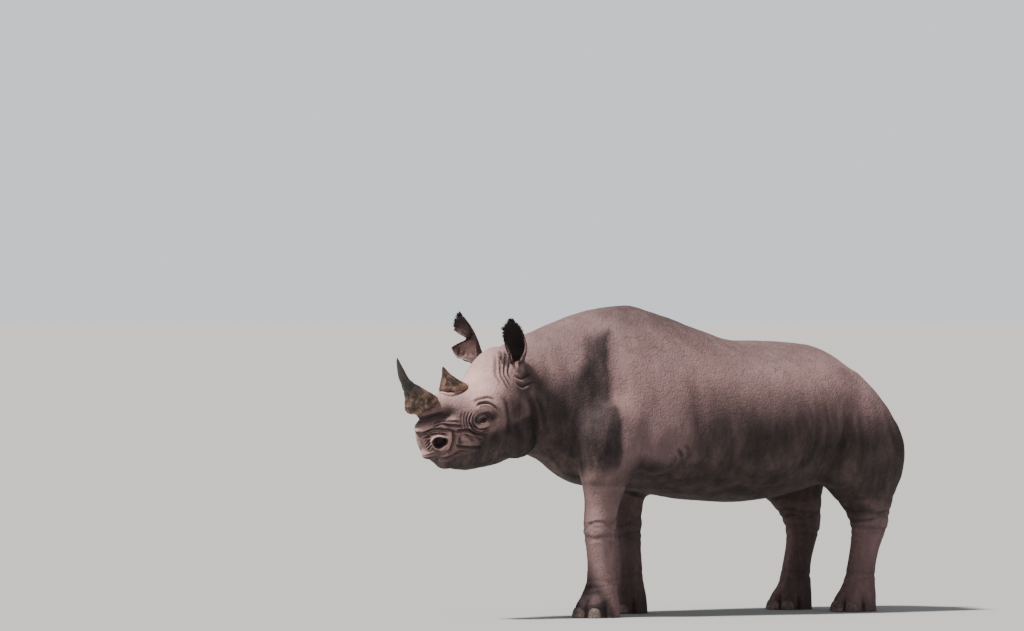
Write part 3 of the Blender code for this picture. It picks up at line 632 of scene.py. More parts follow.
def ear_hole(hand, wall):
    """The room inside the cup, to be cleared of the head."""
    rings = []
    for ring in ear_rings(hand, wall, RINGS["ear_hole"], EAR_HOLE_STEPS):
        inner = np.array(ring[len(ring) // 2 :])
        if inner[0][2] > 0.10 * EAR_HEIGHTS[hand]:
            rings.append(inner)
    hole = loft("hole", rings)
    hole.data.transform(ear_frame(hand))
    return hole


def tail_rows(count):
    return smooth_rows([(x, z, 0, a, b) for x, z, a, b in TAIL], count)[:, [0, 1, 3, 4]]


def tail_dock():
    """The fleshy tail without its bristles, in rings square to its curve."""
    rows = tail_rows(RINGS["tail"])
    rows = rows[rows[:, 1] > DOCK_END]
    below = ramp(rows[:, 1], DOCK_END + 0.12, DOCK_END)[:, None]
    rows[:, 2:] = rows[:, 2:] * (1 - below) + DOCK_TIP * below
    way = np.gradient(rows[:, :2], axis=0)
    way /= np.linalg.norm(way, axis=1)[:, None]
    cos, sin = circle(TAIL_SIDES)
    rings = []
    for (x, z, thick, wide), (dx, dz) in zip(rows, way):
        out = thick * cos
        rings.append(np.column_stack([x + out * dz, wide * sin, z - out * dx]))
    return loft("dock", rings)


# ---------------------------------------------------------------- folds of the skin
# Folds of the barrel and neck: path of (along, up), half width, depth. Both sides have them.
BODY_FOLDS = (
    (
        ((0.200, 1.43), (0.235, 1.34), (0.255, 1.24), (0.264, 1.08), (0.262, 0.94), (0.252, 0.80)),
        0.050,  # the wide fold in front of the shoulder
        0.020,
    ),
    (((0.310, 1.46), (0.335, 1.30), (0.340, 1.08), (0.325, 0.88)), 0.060, 0.017),
    (((0.490, 1.36), (0.500, 1.24), (0.495, 1.12)), 0.030, 0.0025),
    (((0.590, 1.34), (0.600, 1.22), (0.595, 1.10)), 0.026, 0.0025),
    (((-0.120, 1.20), (-0.170, 1.05), (-0.165, 0.90), (-0.120, 0.76)), 0.030, 0.010),
    (((-0.085, 0.86), (-0.120, 0.78), (-0.110, 0.70)), 0.012, 0.007),
    (((-0.055, 0.84), (-0.085, 0.77), (-0.080, 0.69)), 0.010, 0.006),
    (((-1.085, 1.05), (-1.070, 0.93), (-1.020, 0.80), (-0.955, 0.69)), 0.024, 0.018),
    (((-1.120, 0.95), (-1.085, 0.84), (-1.030, 0.74)), 0.012, 0.007),
    (((-0.240, 0.66), (-0.450, 0.625), (-0.700, 0.63), (-0.900, 0.67)), 0.022, 0.006),
    (((-1.330, 1.02), (-1.370, 0.90), (-1.390, 0.78)), 0.020, 0.007),
    (((-1.405, 0.98), (-1.430, 0.88), (-1.430, 0.76)), 0.014, 0.006),
)
# Upright folds between the ribs and the thigh: along, top, bottom, depth.
FLANK_FOLDS = (
    (-0.700, 0.93, 0.72, 0.0018),
    (-0.752, 1.00, 0.70, 0.0030),
    (-0.792, 1.04, 0.68, 0.0022),
    (-0.850, 1.08, 0.67, 0.0042),
    (-0.884, 1.02, 0.70, 0.0022),
    (-0.942, 1.09, 0.69, 0.0036),
    (-0.990, 1.04, 0.74, 0.0026),
)
# Creases round the legs: height, half width, depth; and how far they lean, one after another.
LEG_CREASE_LEANS = (0.050, -0.020, 0.085, -0.060, 0.015, -0.045, 0.060)
FORELEG_RINGS = (
    *((0.70, 0.014, 0.002), (0.655, 0.011, 0.002), (0.475, 0.010, 0.005), (0.445, 0.008, 0.004)),
    *((0.410, 0.010, 0.005), (0.375, 0.008, 0.003), (0.185, 0.010, 0.003), (0.155, 0.008, 0.002)),
)
HINDLEG_RINGS = (
    *((0.560, 0.012, 0.004), (0.500, 0.010, 0.005), (0.465, 0.009, 0.005), (0.425, 0.009, 0.005)),
    *((0.385, 0.008, 0.003), (0.190, 0.010, 0.003), (0.158, 0.008, 0.002)),
)
# Upright folds of the buttocks: out from the middle, top, bottom, depth.
REAR_FOLDS = ((0.055, 1.02, 0.72, 0.010), (0.120, 1.04, 0.74, 0.006), (0.185, 1.06, 0.80, 0.005),
              (0.250, 1.02, 0.78, 0.004))
# Unevenness of the body and of the head: height, size, seed of the noise.
BODY_ROUGHNESS = ((0.0022, 0.110, 3), (0.0014, 0.045, 4))
HEAD_ROUGHNESS = ((0.0016, 0.040, 5), (0.0007, 0.014, 6))
# Folds of the face: path of (back, up), half width, depth. Back is measured round the muzzle
# from the tip of the nose and then along the side of the head; both sides have them.
MUZZLE_RADIUS, MUZZLE_AT = 0.098, 0.50
FACE_FOLDS = (
    # over the nostril, sweeping back to the eye
    (((0.055, -0.112), (0.109, -0.104), (0.154, -0.127), (0.205, -0.150), (0.240, -0.172)), 0.0045, 0.0045),
    (((0.060, -0.100), (0.115, -0.092), (0.165, -0.112), (0.205, -0.128), (0.232, -0.142)), 0.0045, 0.0035),
    (((0.008, -0.137), (0.074, -0.123), (0.145, -0.150), (0.182, -0.180)), 0.0045, 0.0050),
    (((0.000, -0.150), (0.060, -0.130), (0.105, -0.139), (0.150, -0.166)), 0.0040, 0.0040),
    (((0.000, -0.161), (0.045, -0.143), (0.092, -0.149), (0.135, -0.176)), 0.0045, 0.0045),
    (((0.000, -0.171), (0.032, -0.157), (0.060, -0.155)), 0.0040, 0.0035),
    # short creases on the front of the lip, rising to the nostril
    (((0.004, -0.185), (0.026, -0.166), (0.052, -0.145)), 0.0036, 0.0042),
    (((0.006, -0.198), (0.028, -0.180), (0.050, -0.162)), 0.0036, 0.0040),
    (((0.008, -0.210), (0.030, -0.194), (0.050, -0.178)), 0.0036, 0.0038),
    (((0.016, -0.219), (0.034, -0.207), (0.048, -0.194)), 0.0034, 0.0034),
    (((0.004, -0.228), (0.048, -0.222)), 0.0035, 0.0016),
    # behind the nostril, and round the soft bulge of the cheek
    (((0.168, -0.150), (0.162, -0.198), (0.140, -0.238), (0.110, -0.268)), 0.0090, 0.0120),
    (((0.159, -0.171), (0.225, -0.183), (0.290, -0.222), (0.340, -0.262)), 0.0060, 0.0070),
    (((0.155, -0.232), (0.207, -0.262), (0.263, -0.286), (0.320, -0.300)), 0.0060, 0.0065),
    (((0.196, -0.205), (0.190, -0.228), (0.200, -0.250)), 0.0085, 0.0050),
    (((0.225, -0.204), (0.250, -0.232), (0.266, -0.262)), 0.0070, 0.0022),
    (((0.266, -0.219), (0.285, -0.243), (0.306, -0.276)), 0.0070, 0.0022),
    # over the eyelid
    (((0.318, -0.096), (0.345, -0.086), (0.385, -0.094), (0.415, -0.125), (0.424, -0.160)), 0.0045, 0.0060),
    (((0.320, -0.078), (0.352, -0.066), (0.400, -0.072), (0.436, -0.100)), 0.0050, 0.0035),
    # the temple, in front of the ear
    (((0.600, 0.086), (0.552, 0.040), (0.510, -0.012), (0.508, -0.055)), 0.0055, 0.0026),
    (((0.626, 0.082), (0.574, 0.036), (0.532, -0.018), (0.530, -0.060), (0.542, -0.105)), 0.0052, 0.0040),
    (((0.650, 0.078), (0.598, 0.034), (0.554, -0.018), (0.552, -0.062), (0.562, -0.095)), 0.0050, 0.0046),
    (((0.664, 0.062), (0.620, 0.026), (0.577, -0.020), (0.576, -0.056)), 0.0048, 0.0042),
    # under the ear
    (((0.600, -0.030), (0.640, -0.062), (0.700, -0.052)), 0.0060, 0.0040),
    (((0.588, -0.060), (0.630, -0.098), (0.700, -0.094)), 0.0070, 0.0045),
    # cheek and jaw
    (((0.472, -0.090), (0.484, -0.150), (0.470, -0.200), (0.474, -0.262), (0.486, -0.320)), 0.0140, 0.0040),
    (((0.620, -0.130), (0.640, -0.200), (0.640, -0.290), (0.610, -0.370)), 0.0160, 0.0110),
    (((0.670, -0.150), (0.690, -0.240), (0.685, -0.330)), 0.0140, 0.0070),
)
# Nested wrinkles round the front and the underside of the eye: how far out, first and last angle
# from straight back and up over the top, half width, depth.
EYE_WRINKLES = (
    (0.056, 122, 300, 0.0034, 0.0042),
    (0.071, 116, 282, 0.0034, 0.0046),
    (0.085, 118, 262, 0.0034, 0.0040),
    (0.099, 124, 206, 0.0036, 0.0034),
    (0.114, 132, 186, 0.0040, 0.0026),
)
# Foremost points of the muzzle's middle: up, forward.
MUZZLE_PROFILE = ((-0.290, 0.580), (-0.268, 0.610), (-0.245, 0.638), (-0.220, 0.654), (-0.190, 0.662),
                  (-0.165, 0.658), (-0.140, 0.649), (-0.118, 0.636), (-0.100, 0.626), (-0.080, 0.620))
NOSTRIL_TURNS = {1: 47, -1: 62}  # degrees round from the front, of the left one and the right one
NOSTRIL_HALF = (0.027, 0.026)  # half sizes of the opening, along its slant and across
NOSTRIL_TAIL = ((-0.018, -0.001), (0.024, 0.019))  # middle and half sizes of its rear end
NOSTRIL_DEPTH, NOSTRIL_RIM, NOSTRIL_REACH = 0.044, 0.0085, 0.075
NOSE_AT, NOSE_REACH = (0.555, 0, -0.19), 0.135
EYE_REACH = 0.085  # of the skin that the lids change
EYE_NEAR = 0.050  # of the finest skin round the eye
UPPER_GAP, LOWER_GAP = 0.0120, 0.0150  # how far the lids open from the middle of the eye
LID_BLEND = 0.010  # how softly the lids run into the face
LID_CREASE = 0.0095  # behind each lid's edge
MOUTH = ((0.025, -0.275), (0.062, -0.285), (0.105, -0.288), (0.150, -0.283), (0.190, -0.281),
         (0.222, -0.292))


def path_distance(a, b, path):
    """Signed distance of points in a plane from a smooth path, and their share of its length."""
    path = np.array(path, float)
    if len(path) > 2:
        path = smooth_rows(np.column_stack([path, np.zeros(len(path))]), 22)[:, :2]
    lengths = np.linalg.norm(np.diff(path, axis=0), axis=1)
    starts = np.concatenate([[0], np.cumsum(lengths)])
    best, signed, along = np.full(len(a), np.inf), np.zeros(len(a)), np.zeros(len(a))
    for (p, q), length, start in zip(zip(path[:-1], path[1:]), lengths, starts):
        way = (q - p) / length
        over = np.clip((a - p[0]) * way[0] + (b - p[1]) * way[1], 0, length)
        da, db = a - p[0] - over * way[0], b - p[1] - over * way[1]
        gap = np.hypot(da, db)
        near = gap < best
        best = np.where(near, gap, best)
        signed = np.where(near, np.where(way[0] * db - way[1] * da < 0, -gap, gap), signed)
        along = np.where(near, start + over, along)
    return signed, along / starts[-1]


class Sculpture:
    """The skin's points, with the lift of every fold added up before they are moved."""

    def __init__(self, obj):
        self.obj = obj
        # Painted shade in creases and hollows, and painted highlight on lit rims, each point's share.
        self.shaded_crease = np.zeros(len(obj.data.vertices))
        self.flush = np.zeros(len(obj.data.vertices))
        self.refresh()

    def refresh(self):
        self.points, self.normals = coordinates(self.obj), normals_of(self.obj)
        inverse = head_matrix().inverted()
        self.head = moved(self.points, inverse)
        self.head_normals = self.normals @ np.array(inverse)[:3, :3].T
        self.lift = np.zeros(len(self.points))

    def apply(self):
        self.points += self.normals * self.lift[:, None]
        set_coordinates(self.obj, self.points)
        self.refresh()

    def fold(self, a, b, where, path, width, depth, lip=0.45, wobble=0.35, seed=1, painted_shade=0.6):
        """A groove with a raised lip on both sides, along a path in the plane of a and b."""
        flat = np.array(path)
        reach = 5 * width
        low, high = flat.min(0) - reach, flat.max(0) + reach
        near = np.flatnonzero((where > 0.01) & (a > low[0]) & (a < high[0]) & (b > low[1]) & (b < high[1]))
        if not len(near):
            return
        gap, along = path_distance(a[near], b[near], path)
        gap = gap + wobble * width * 1.6 * lattice_noise(self.points[near], 9 * width, seed)
        ends = ramp(np.minimum(along, 1 - along), -0.02, 0.22) * where[near]
        uneven = 1 + 0.35 * lattice_noise(self.points[near], 14 * width, seed + 1)
        groove = bell(gap, width)
        raised = bell(np.abs(gap) - 2.1 * width, 1.15 * width)
        self.lift[near] += depth * ends * uneven * (lip * raised - groove)
        # painted shade in the groove
        self.paint_shade(ends * groove * min(1, depth / 0.004) * painted_shade, near)

    def roughen(self, where, layers):
        """Adds smooth unevenness in layers of (height, size, seed)."""
        self.lift += where * sum(
            height * lattice_noise(self.points, size, seed) for height, size, seed in layers
        )

    def paint_shade(self, values, near=slice(None)):
        """Paints shade into a crease or hollow, where it is stronger than what is there."""
        self.shaded_crease[near] = np.maximum(self.shaded_crease[near], values)


def refine(obj, chosen):
    """Halves the edges of the faces whose centres are chosen."""
    picked = np.flatnonzero(chosen(read(obj.data.polygons, "center").astype(float)))

    def halve(made):
        made.faces.ensure_lookup_table()
        edges = {edge for i in picked for edge in made.faces[i].edges}
        bmesh.ops.subdivide_edges(made, edges=list(edges), cuts=1, use_grid_fill=True)

    edit(obj.data, halve)


def relax(obj, share, passes):
    """Moves points towards the middle of their neighbours, by the given share of each."""
    a, b = read(obj.data.edges, "vertices", 2, np.int32).T
    points = coordinates(obj)
    count = len(points)
    degree = np.maximum(1, np.bincount(a, minlength=count) + np.bincount(b, minlength=count))
    share = np.broadcast_to(share, count)[:, None]
    for _ in range(passes):
        around = np.empty_like(points)
        for axis in range(3):
            column = points[:, axis]
            total = np.bincount(a, column[b], count) + np.bincount(b, column[a], count)
            around[:, axis] = total / degree
        points += (around - points) * share
    set_coordinates(obj, points)


def in_head(points):
    return moved(points, head_matrix().inverted())


def in_ear(points, hand):
    return moved(points, ear_frame(hand).inverted())


def round_muzzle(head):
    """How far back a point lies, round the front of the muzzle and then along the side."""
    u, v = head[:, 0], np.abs(head[:, 1])
    front = MUZZLE_RADIUS * np.arctan2(v, np.maximum(u - MUZZLE_AT, 1e-6))
    return np.where(u > MUZZLE_AT, front, MUZZLE_RADIUS * math.pi / 2 + MUZZLE_AT - u)


def eye_centre(side):
    return np.array((EYE_AT.x, side * EYE_AT.y, EYE_AT.z))


def lids_face(side):
    """The way that the gap between the lids faces, in the head's own frame."""
    return Vector((0.30, side * 0.95, 0.06)).normalized()


def near_eyes(points, reach=EYE_NEAR):
    head = in_head(points)
    gaps = [np.linalg.norm(head - eye_centre(side), axis=1) for side in SIDES.values()]
    return np.minimum(*gaps) < reach


def near_face_details(points):
    nose = np.linalg.norm(in_head(points) - NOSE_AT, axis=1)
    return near_eyes(points, EYE_REACH) | (nose < NOSE_REACH)


def raw_skin(sizes):
    """The clay body with its ears and tail, soles cut level, finer over the head and the feet."""
    barrel = clay("barrel", [trunk_form(), *map(leg_form, STANCE), *body_masses()], *BARREL_CLAY)
    skull = clay("skull", [head_form(), *head_masses()], *SKULL_CLAY)
    skin = clay("skin", [barrel, skull], sizes.skin_clay, SKIN_SMOOTHING)
    cut(skin, slab("floor", (-3, -2, -1), (3, 2, 0)), "DIFFERENCE")
    refine(skin, lambda p: in_head(p)[:, 0] > HEAD_FROM)
    relax(skin, 0.5 * (in_head(coordinates(skin))[:, 0] > HEAD_FROM - 0.02), 4)
    refine(skin, near_face_details)
    relax(skin, 0.5 * near_face_details(coordinates(skin)), 3)
    refine(skin, near_eyes)
    relax(skin, 0.5 * near_eyes(coordinates(skin)), 3)
    refine(skin, lambda p: (p[:, 2] < FEET_BELOW) & (p[:, 2] > 0.001))
    for hand in SIDES:
        cut(skin, ear_hole(hand, sizes.ear_wall), "DIFFERENCE")
        cut(skin, ear(hand, sizes.ear_wall), "UNION")
    cut(skin, tail_dock(), "UNION")
    return skin


def blend_roots(skin):
    """Softens the joins of the ears and the tail."""
    points = coordinates(skin)
    share = np.zeros(len(points))
    for hand in SIDES:
        local = in_ear(points, hand)
        share = np.maximum(share, bell(np.linalg.norm(local / (1, 1, 0.9), axis=1) - 0.046, 0.030))
        share[local[:, 2] > 0.06] = 0
    dock = np.linalg.norm(points - TAIL_ROOT, axis=1)
    share = np.maximum(share, bell(dock, 0.100))
    relax(skin, 0.6 * share, 26)


def sculpt_body(shape):
    x, y, z = shape.points.T
    not_head = ramp(shape.head[:, 0], 0.02, -0.08)
    for side in SIDES.values():
        flank = ramp(y * side, 0.03, 0.12) * ramp(shape.normals[:, 1] * side, 0.05, 0.45) * not_head
        for i, (path, width, depth) in enumerate(BODY_FOLDS):
            shape.fold(x, z, flank, path, width, depth, 0.45 if width < 0.05 else 0, seed=20 + i, painted_shade=0.2)
        for i, (along, top, bottom, depth) in enumerate(FLANK_FOLDS):
            path = ((along + 0.03, top), (along, (top + bottom) / 2), (along + 0.015, bottom))
            shape.fold(x, z, flank, path, 0.0115, depth, seed=40 + i, wobble=0.6, painted_shade=0.25)
    for leg, (_, side, _) in STANCE.items():
        front = leg.startswith("fore")
        rings = FORELEG_RINGS if front else HINDLEG_RINGS
        here = ((y * side > 0.02) & ((x > -0.5) == front)).astype(float) * ramp(z, 0.76, 0.60)
        for i, (height, width, depth) in enumerate(rings):
            middle = stepped(leg, 0.04 if front else -1.28, height)
            lean = LEG_CREASE_LEANS[i % len(LEG_CREASE_LEANS)]
            path = ((middle - 0.3, height + lean), (middle + 0.3, height - lean))
            shape.fold(x, z, here, path, width, 0.6 * depth, 0.25, seed=60 + i, wobble=1.3, painted_shade=0.5)
        sculpt_foot(shape, leg)
    behind = ramp(shape.normals[:, 0], -0.15, -0.5) * ramp(z, 0.60, 0.70)
    for i, (out, top, bottom, depth) in enumerate(REAR_FOLDS):
        path = ((out, top), (out * 0.9, bottom))
        shape.fold(np.abs(y), z, behind, path, 0.014, depth, seed=80 + i, wobble=0.7, painted_shade=0.3)
    shape.roughen(not_head, BODY_ROUGHNESS)


def sculpt_foot(shape, leg):
    """Toes over the nails, with a cleft between them."""
    middle, out, length, width = sole_of(leg)
    px, py, pz = shape.points.T
    a, b = (px - middle) / length, (py * STANCE[leg][1] - out) / width
    here = (np.hypot(a, b) < 1.6) & (pz < FEET_BELOW) & (pz > 0.0015)
    turn = np.degrees(np.arctan2(b, a))
    for _, at, _ in TOENAILS:
        toe = bell(turn - at, 17) * ramp(pz, 0.125, 0.055)
        shape.lift += here * toe * 0.0075
    for at in TOE_CLEFTS:
        cleft = bell(turn - at, 6) * ramp(pz, 0.105, 0.03)
        shape.lift -= here * cleft * 0.008
        # painted shade in the cleft
        shape.paint_shade(here * cleft * 0.9)


def sculpt_face(shape, sizes):
    back = round_muzzle(shape.head)
    v, w = shape.head[:, 1], shape.head[:, 2]
    front = shape.head[:, 0] > MUZZLE_AT - 0.03
    is_head = ramp(shape.head[:, 0], -0.16, -0.06)
    eye_back = MUZZLE_RADIUS * math.pi / 2 + MUZZLE_AT - EYE_AT.x
    for side in SIDES.values():
        outwards = ramp(shape.head_normals[:, 1] * side, 0.02, 0.35)
        this = (v * side >= 0) * is_head * np.where(front, 1, outwards * ramp(v * side, 0.01, 0.04))
        this = this * (ramp(back, 0.0, 0.030) if side > 0 else ramp(back, 0.050, 0.130))
        for i, (path, width, depth) in enumerate(FACE_FOLDS):
            shape.fold(back, w, this, path, width, depth * sizes.fold_depth, seed=100 + i, painted_shade=0.85)
        shape.fold(back, w, this, MOUTH, 0.0065, 0.016, lip=0.25, wobble=0.15, seed=99)
        for i, (reach, first, last, width, depth) in enumerate(EYE_WRINKLES):
            turn = np.radians(np.linspace(first, last, 7))
            path = np.column_stack([eye_back + reach * np.cos(turn), EYE_AT.z + 0.88 * reach * np.sin(turn)])
            shape.fold(back, w, this, path, width, depth, seed=140 + i, wobble=0.5, painted_shade=0.85)
    # fine wrinkles: across the muzzle and the forehead, and all over the head
    u = shape.head[:, 0]
    waves = np.sin(2 * math.pi * (u / 0.016 + 0.9 * lattice_noise(shape.points, 0.05, 8)))
    between = ramp(u, 0.36, 0.40) * ramp(u, 0.46, 0.43) * ramp(shape.head_normals[:, 2], 0.1, 0.5)
    shape.lift += between * 0.0009 * waves
    shape.roughen(is_head, HEAD_ROUGHNESS)


def round_off_muzzle(shape):
    """Gives the front of the muzzle its even, rounded profile."""
    u, v, w = shape.head.T
    front = on_line(w, MUZZLE_PROFILE) - 4.5 * v**2
    share = bell(v, 0.042) * ramp(w, -0.290, -0.262) * ramp(w, -0.080, -0.104)
    share *= ramp(u, front - 0.05, front - 0.03)
    shape.head[:, 0] += (front - u) * share * 0.92
    shape.points = moved(shape.head, head_matrix())
    set_coordinates(shape.obj, shape.points)
    relax(shape.obj, 0.5 * share, 16)
    shape.refresh()


def pinch_under_horns(shape):
    """The horns' bases overhang the skin a little, with a swollen collar round them."""
    u, v, w = shape.head.T
    radius = np.hypot((u - 0.338) / 0.084, v / 0.063)
    band = ramp(w, -0.087, -0.042)
    shape.lift -= band * bell(radius - 1.04, 0.10) * 0.007
    # painted shade under the overhang of the horns' bases
    shape.paint_shade(0.8 * band * bell(radius - 1.03, 0.09))
    # the hollow under the front horn, that runs back along the side of the nose
    level = -0.076 + 0.10 * (u - 0.50)
    hollow = bell(w - level, 0.022) * ramp(u, 0.405, 0.50) * ramp(shape.head_normals[:, 2], 0.85, 0.45)
    shape.lift -= hollow * 0.024
    shape.lift += bell(w - level + 0.036, 0.012) * ramp(u, 0.42, 0.50) * ramp(u, 0.60, 0.55) * 0.006
    # painted shade in the hollow
    shape.paint_shade(hollow * 0.85)


def eyelids(shape, sizes, side):
    """Two lids drawn over the eyeball, with their rims, and a hollow behind the outer corner."""
    centre = eye_centre(side)
    out = lids_face(side)
    along = (Vector((1, 0, 0)) - out * out.x).normalized()
    up = Vector((0, 0, 1)) - out * out.z - along * along.z
    up = (up - along * along.dot(up)).normalized()
    frame_of = np.array([along, up, out])
    local = (shape.head - centre) @ frame_of.T
    near = np.flatnonzero((np.linalg.norm(local, axis=1) < EYE_REACH) & (local[:, 2] > -0.012))
    a, b, o = local[near].T
    slant = b + 0.02 * a
    span = 1 - (a / sizes.eye_opening) ** 2
    open_by = np.maximum(slant - UPPER_GAP * span, -LOWER_GAP * span - slant)
    spread = np.hypot(a, b)
    ball = sizes.eye_radius
    dome_radius = ball + sizes.lid_thickness
    dome = np.sqrt(np.maximum(dome_radius**2 - spread**2, 0))
    steep = dome_radius * 0.86  # from here out the dome runs down in a cone
    dome = np.where(spread < steep, dome, dome_radius * 0.51 - 1.6 * (spread - steep))
    h = np.clip(0.5 + 0.5 * (dome - o) / LID_BLEND, 0, 1)
    lid = o * (1 - h) + dome * h + LID_BLEND * h * (1 - h)
    shaded_crease = bell(open_by - LID_CREASE, 0.0022)
    lid += (0.0012 + 0.0016 * (b < 0)) * bell(open_by - 0.0030, 0.0026)  # the rim of each lid
    lid -= 0.0030 * shaded_crease
    inside = ramp(open_by, 0.0012, -0.0012)
    hidden = np.sqrt(np.maximum((ball - 0.005) ** 2 - spread**2, 0))
    local[near, 2] = lid * (1 - inside) + hidden * inside
    corner = bell(np.hypot(a + 0.056, (b + 0.008) / 1.15), 0.021)
    local[near, 2] -= corner * 0.010
    shape.points[near] = moved(local[near] @ frame_of + centre, head_matrix())
    # Painted shade in the gap, round the upper lid, round the eye and in its corners; painted highlight on
    # the lower rim and the fold under the eye.
    gap = ramp(open_by, 0.002, 0.0)
    upper = ramp(open_by, 0.0125, 0.0085) * ramp(b, -0.008, 0.0)
    around = 0.97 * ramp(np.hypot((a + 0.006) / 0.056, (b - 0.010) / 0.025), 1.15, 0.80)
    corners = bell(np.hypot((np.abs(a) - 0.033) / 1.3, b + 0.002), 0.0085)
    shape.paint_shade(np.maximum.reduce([shaded_crease * 0.8, gap, upper, around, corners, corner]), near)
    lower = bell(open_by - 0.0042, 0.0036) * ramp(b, -0.004, -0.009) * ramp(a, 0.026, 0.010)
    bag = 0.75 * ramp(np.hypot((a - 0.004) / 0.034, (b + 0.030) / 0.014), 1.25, 0.65)
    shape.shaded_crease[near] *= (1 - 0.95 * lower) * (1 - 0.6 * bag)
    shape.flush[near] = np.maximum.reduce([shape.flush[near], lower, bag])


def nostril(shape, side):
    """A deep oval nostril that opens outwards and forwards, with a thick raised rim."""
    turn = math.radians(NOSTRIL_TURNS[side])
    forward = MUZZLE_AT + 0.105 * math.cos(turn) - 0.006
    centre = np.array((forward, side * (0.092 * math.sin(turn) + 0.004), -0.194))
    out = Vector((math.cos(turn), side * math.sin(turn), 0.10)).normalized()
    along = Vector((math.sin(turn), -side * math.cos(turn), 0))
    along = (along - out * along.dot(out)).normalized()
    up = (Vector((0, 0, 1)) - out * out.z).normalized()
    frame_of = np.array([along, up, out])
    local = (shape.head - centre) @ frame_of.T
    near = np.flatnonzero((np.linalg.norm(local, axis=1) < NOSTRIL_REACH) & (local[:, 2] > -0.04))
    a, b, _ = local[near].T
    leaning = a * 0.94 - b * 0.34
    across = b * 0.94 + a * 0.34
    (tail_a, tail_b), (tail_length, tail_width) = NOSTRIL_TAIL
    tail = np.hypot((a - tail_a) / tail_length, (b - tail_b) / tail_width)
    reach = np.hypot(leaning / NOSTRIL_HALF[0], across / NOSTRIL_HALF[1])
    reach = np.minimum(reach, 0.15 + 0.85 * tail)
    rim = bell(reach - 1.34, 0.24) * (1.15 + 0.75 * np.sin(np.arctan2(b, a - 0.006)))
    hole = ramp(reach, 1.08, 0.55)
    raised = 1 if side > 0 else ramp(a, 0.020, -0.020)
    local[near, 2] += NOSTRIL_RIM * rim * raised - NOSTRIL_DEPTH * hole
    shape.points[near] = moved(local[near] @ frame_of + centre, head_matrix())
    # painted shade in the nostril's hole, and a painted highlight under its rim
    shape.paint_shade(ramp(reach, 1.30, 1.08), near)
    under = bell(reach - 1.40, 0.20) * ramp(b, -0.014, -0.024) * ramp(a, 0.012, -0.006)
    shape.shaded_crease[near] *= 1 - 0.9 * under
    shape.flush[near] = np.maximum(shape.flush[near], under)


def thin_skin(skin, triangles):
    """Thins each region to its share of the triangles; says which points the kept ones were."""
    before = coordinates(skin)
    tree = KDTree(len(before))
    for i, point in enumerate(before):
        tree.insert(point, i)
    tree.balance()
    for region, share in THINNING.items():
        mesh = skin.data
        chosen = regions_of(coordinates(skin)) == region
        corners = read(mesh.polygons, "vertices", 3, np.int32)
        inside = int(chosen[corners].all(axis=1).sum())
        target = int(share * triangles)
        if inside <= target:
            continue
        group = skin.vertex_groups.new(name=region)
        group.add(np.flatnonzero(chosen).tolist(), 1.0, "REPLACE")
        step = skin.modifiers.new("thin", "DECIMATE")
        step.ratio = 1 - (inside - target) / len(mesh.polygons)
        step.vertex_group = region
        settle(skin)
        skin.vertex_groups.clear()
    return np.array([tree.find(point)[1] for point in coordinates(skin)])


# Places of the head painted pale, with dust and painted light, and places painted with shade: (forward, out,
# up), reach, strength.
PALE_ON_TOP = (
    ((0.40, 0, 0.01), 0.085, 1.0),  # bridge between the horns
    ((0.20, 0, 0.0), 0.17, 1.0),  # forehead
    # painted light on the right ear's lobe
    ((0.02, -0.20, 0.08), 0.07, 1.0),
)
PALE_ON_SIDES = (
    ((0.57, 0.05, -0.20), 0.085, 0.90),  # upper lip
    ((0.63, 0.03, -0.155), 0.075, 1.0),
    ((0.42, 0.11, -0.22), 0.045, 0.4),  # behind the nostril
    ((0.24, 0.10, -0.03), 0.11, 0.95),  # brow
    ((0.14, 0.12, 0.0), 0.09, 0.7),
    ((0.33, 0.11, -0.10), 0.035, 0.5),
    ((0.46, 0.10, -0.115), 0.030, 0.4),
)
# painted shade
SHADE_SPOTS = (
    ((0.18, 0.12, -0.30), 0.13, 0.85),  # cheek and jaw
    ((0.34, 0.10, -0.34), 0.090, 0.95),
    ((0.50, 0.05, -0.32), 0.075, 0.95),  # lower lip
    ((0.45, 0.06, -0.080), 0.058, 1.0),  # under the front horn
    ((0.235, 0.15, -0.17), 0.045, 0.9),  # behind and below the eye
    ((0.275, 0.145, -0.195), 0.038, 0.9),
    ((0.36, 0.09, -0.20), 0.040, 0.35),
    ((0.02, 0.17, -0.12), 0.085, 1.0),  # below and behind the ear
    ((0.10, 0.17, -0.20), 0.095, 1.0),
    ((-0.01, 0.16, -0.06), 0.050, 1.0),
    ((-0.07, 0.16, -0.13), 0.075, 1.0),
    ((-0.04, 0.16, -0.22), 0.16, 1.0),
    ((-0.06, 0.17, -0.01), 0.045, 0.9),
)
# Shade is painted on the side of the neck below this line (along, up), and in front of the shoulder's edge
# (up, along).
NECK_DARK_BELOW = ((0.180, 1.480), (0.260, 1.430), (0.330, 1.370), (0.400, 1.270), (0.460, 1.190),
                   (0.549, 1.140), (0.638, 1.225), (0.745, 1.290))
SHOULDER_EDGE = ((0.80, 0.258), (0.95, 0.262), (1.08, 0.264), (1.24, 0.255), (1.34, 0.235), (1.43, 0.195))


def regions_of(points):
    """Names the region that each point of the skin lies in."""
    head = in_head(points)
    names = np.full(len(points), "body", object)
    names[head[:, 0] > HEAD_FROM] = "head"
    for hand in SIDES:
        local = in_ear(points, hand)
        names[(local[:, 2] > 0.03) & (np.abs(local[:, 1]) < 0.12) & (np.abs(local[:, 0]) < 0.08)] = "ears"
    names[near_face_details(points)] = "face"
    names[points[:, 2] < FEET_BELOW] = "feet"
    return names


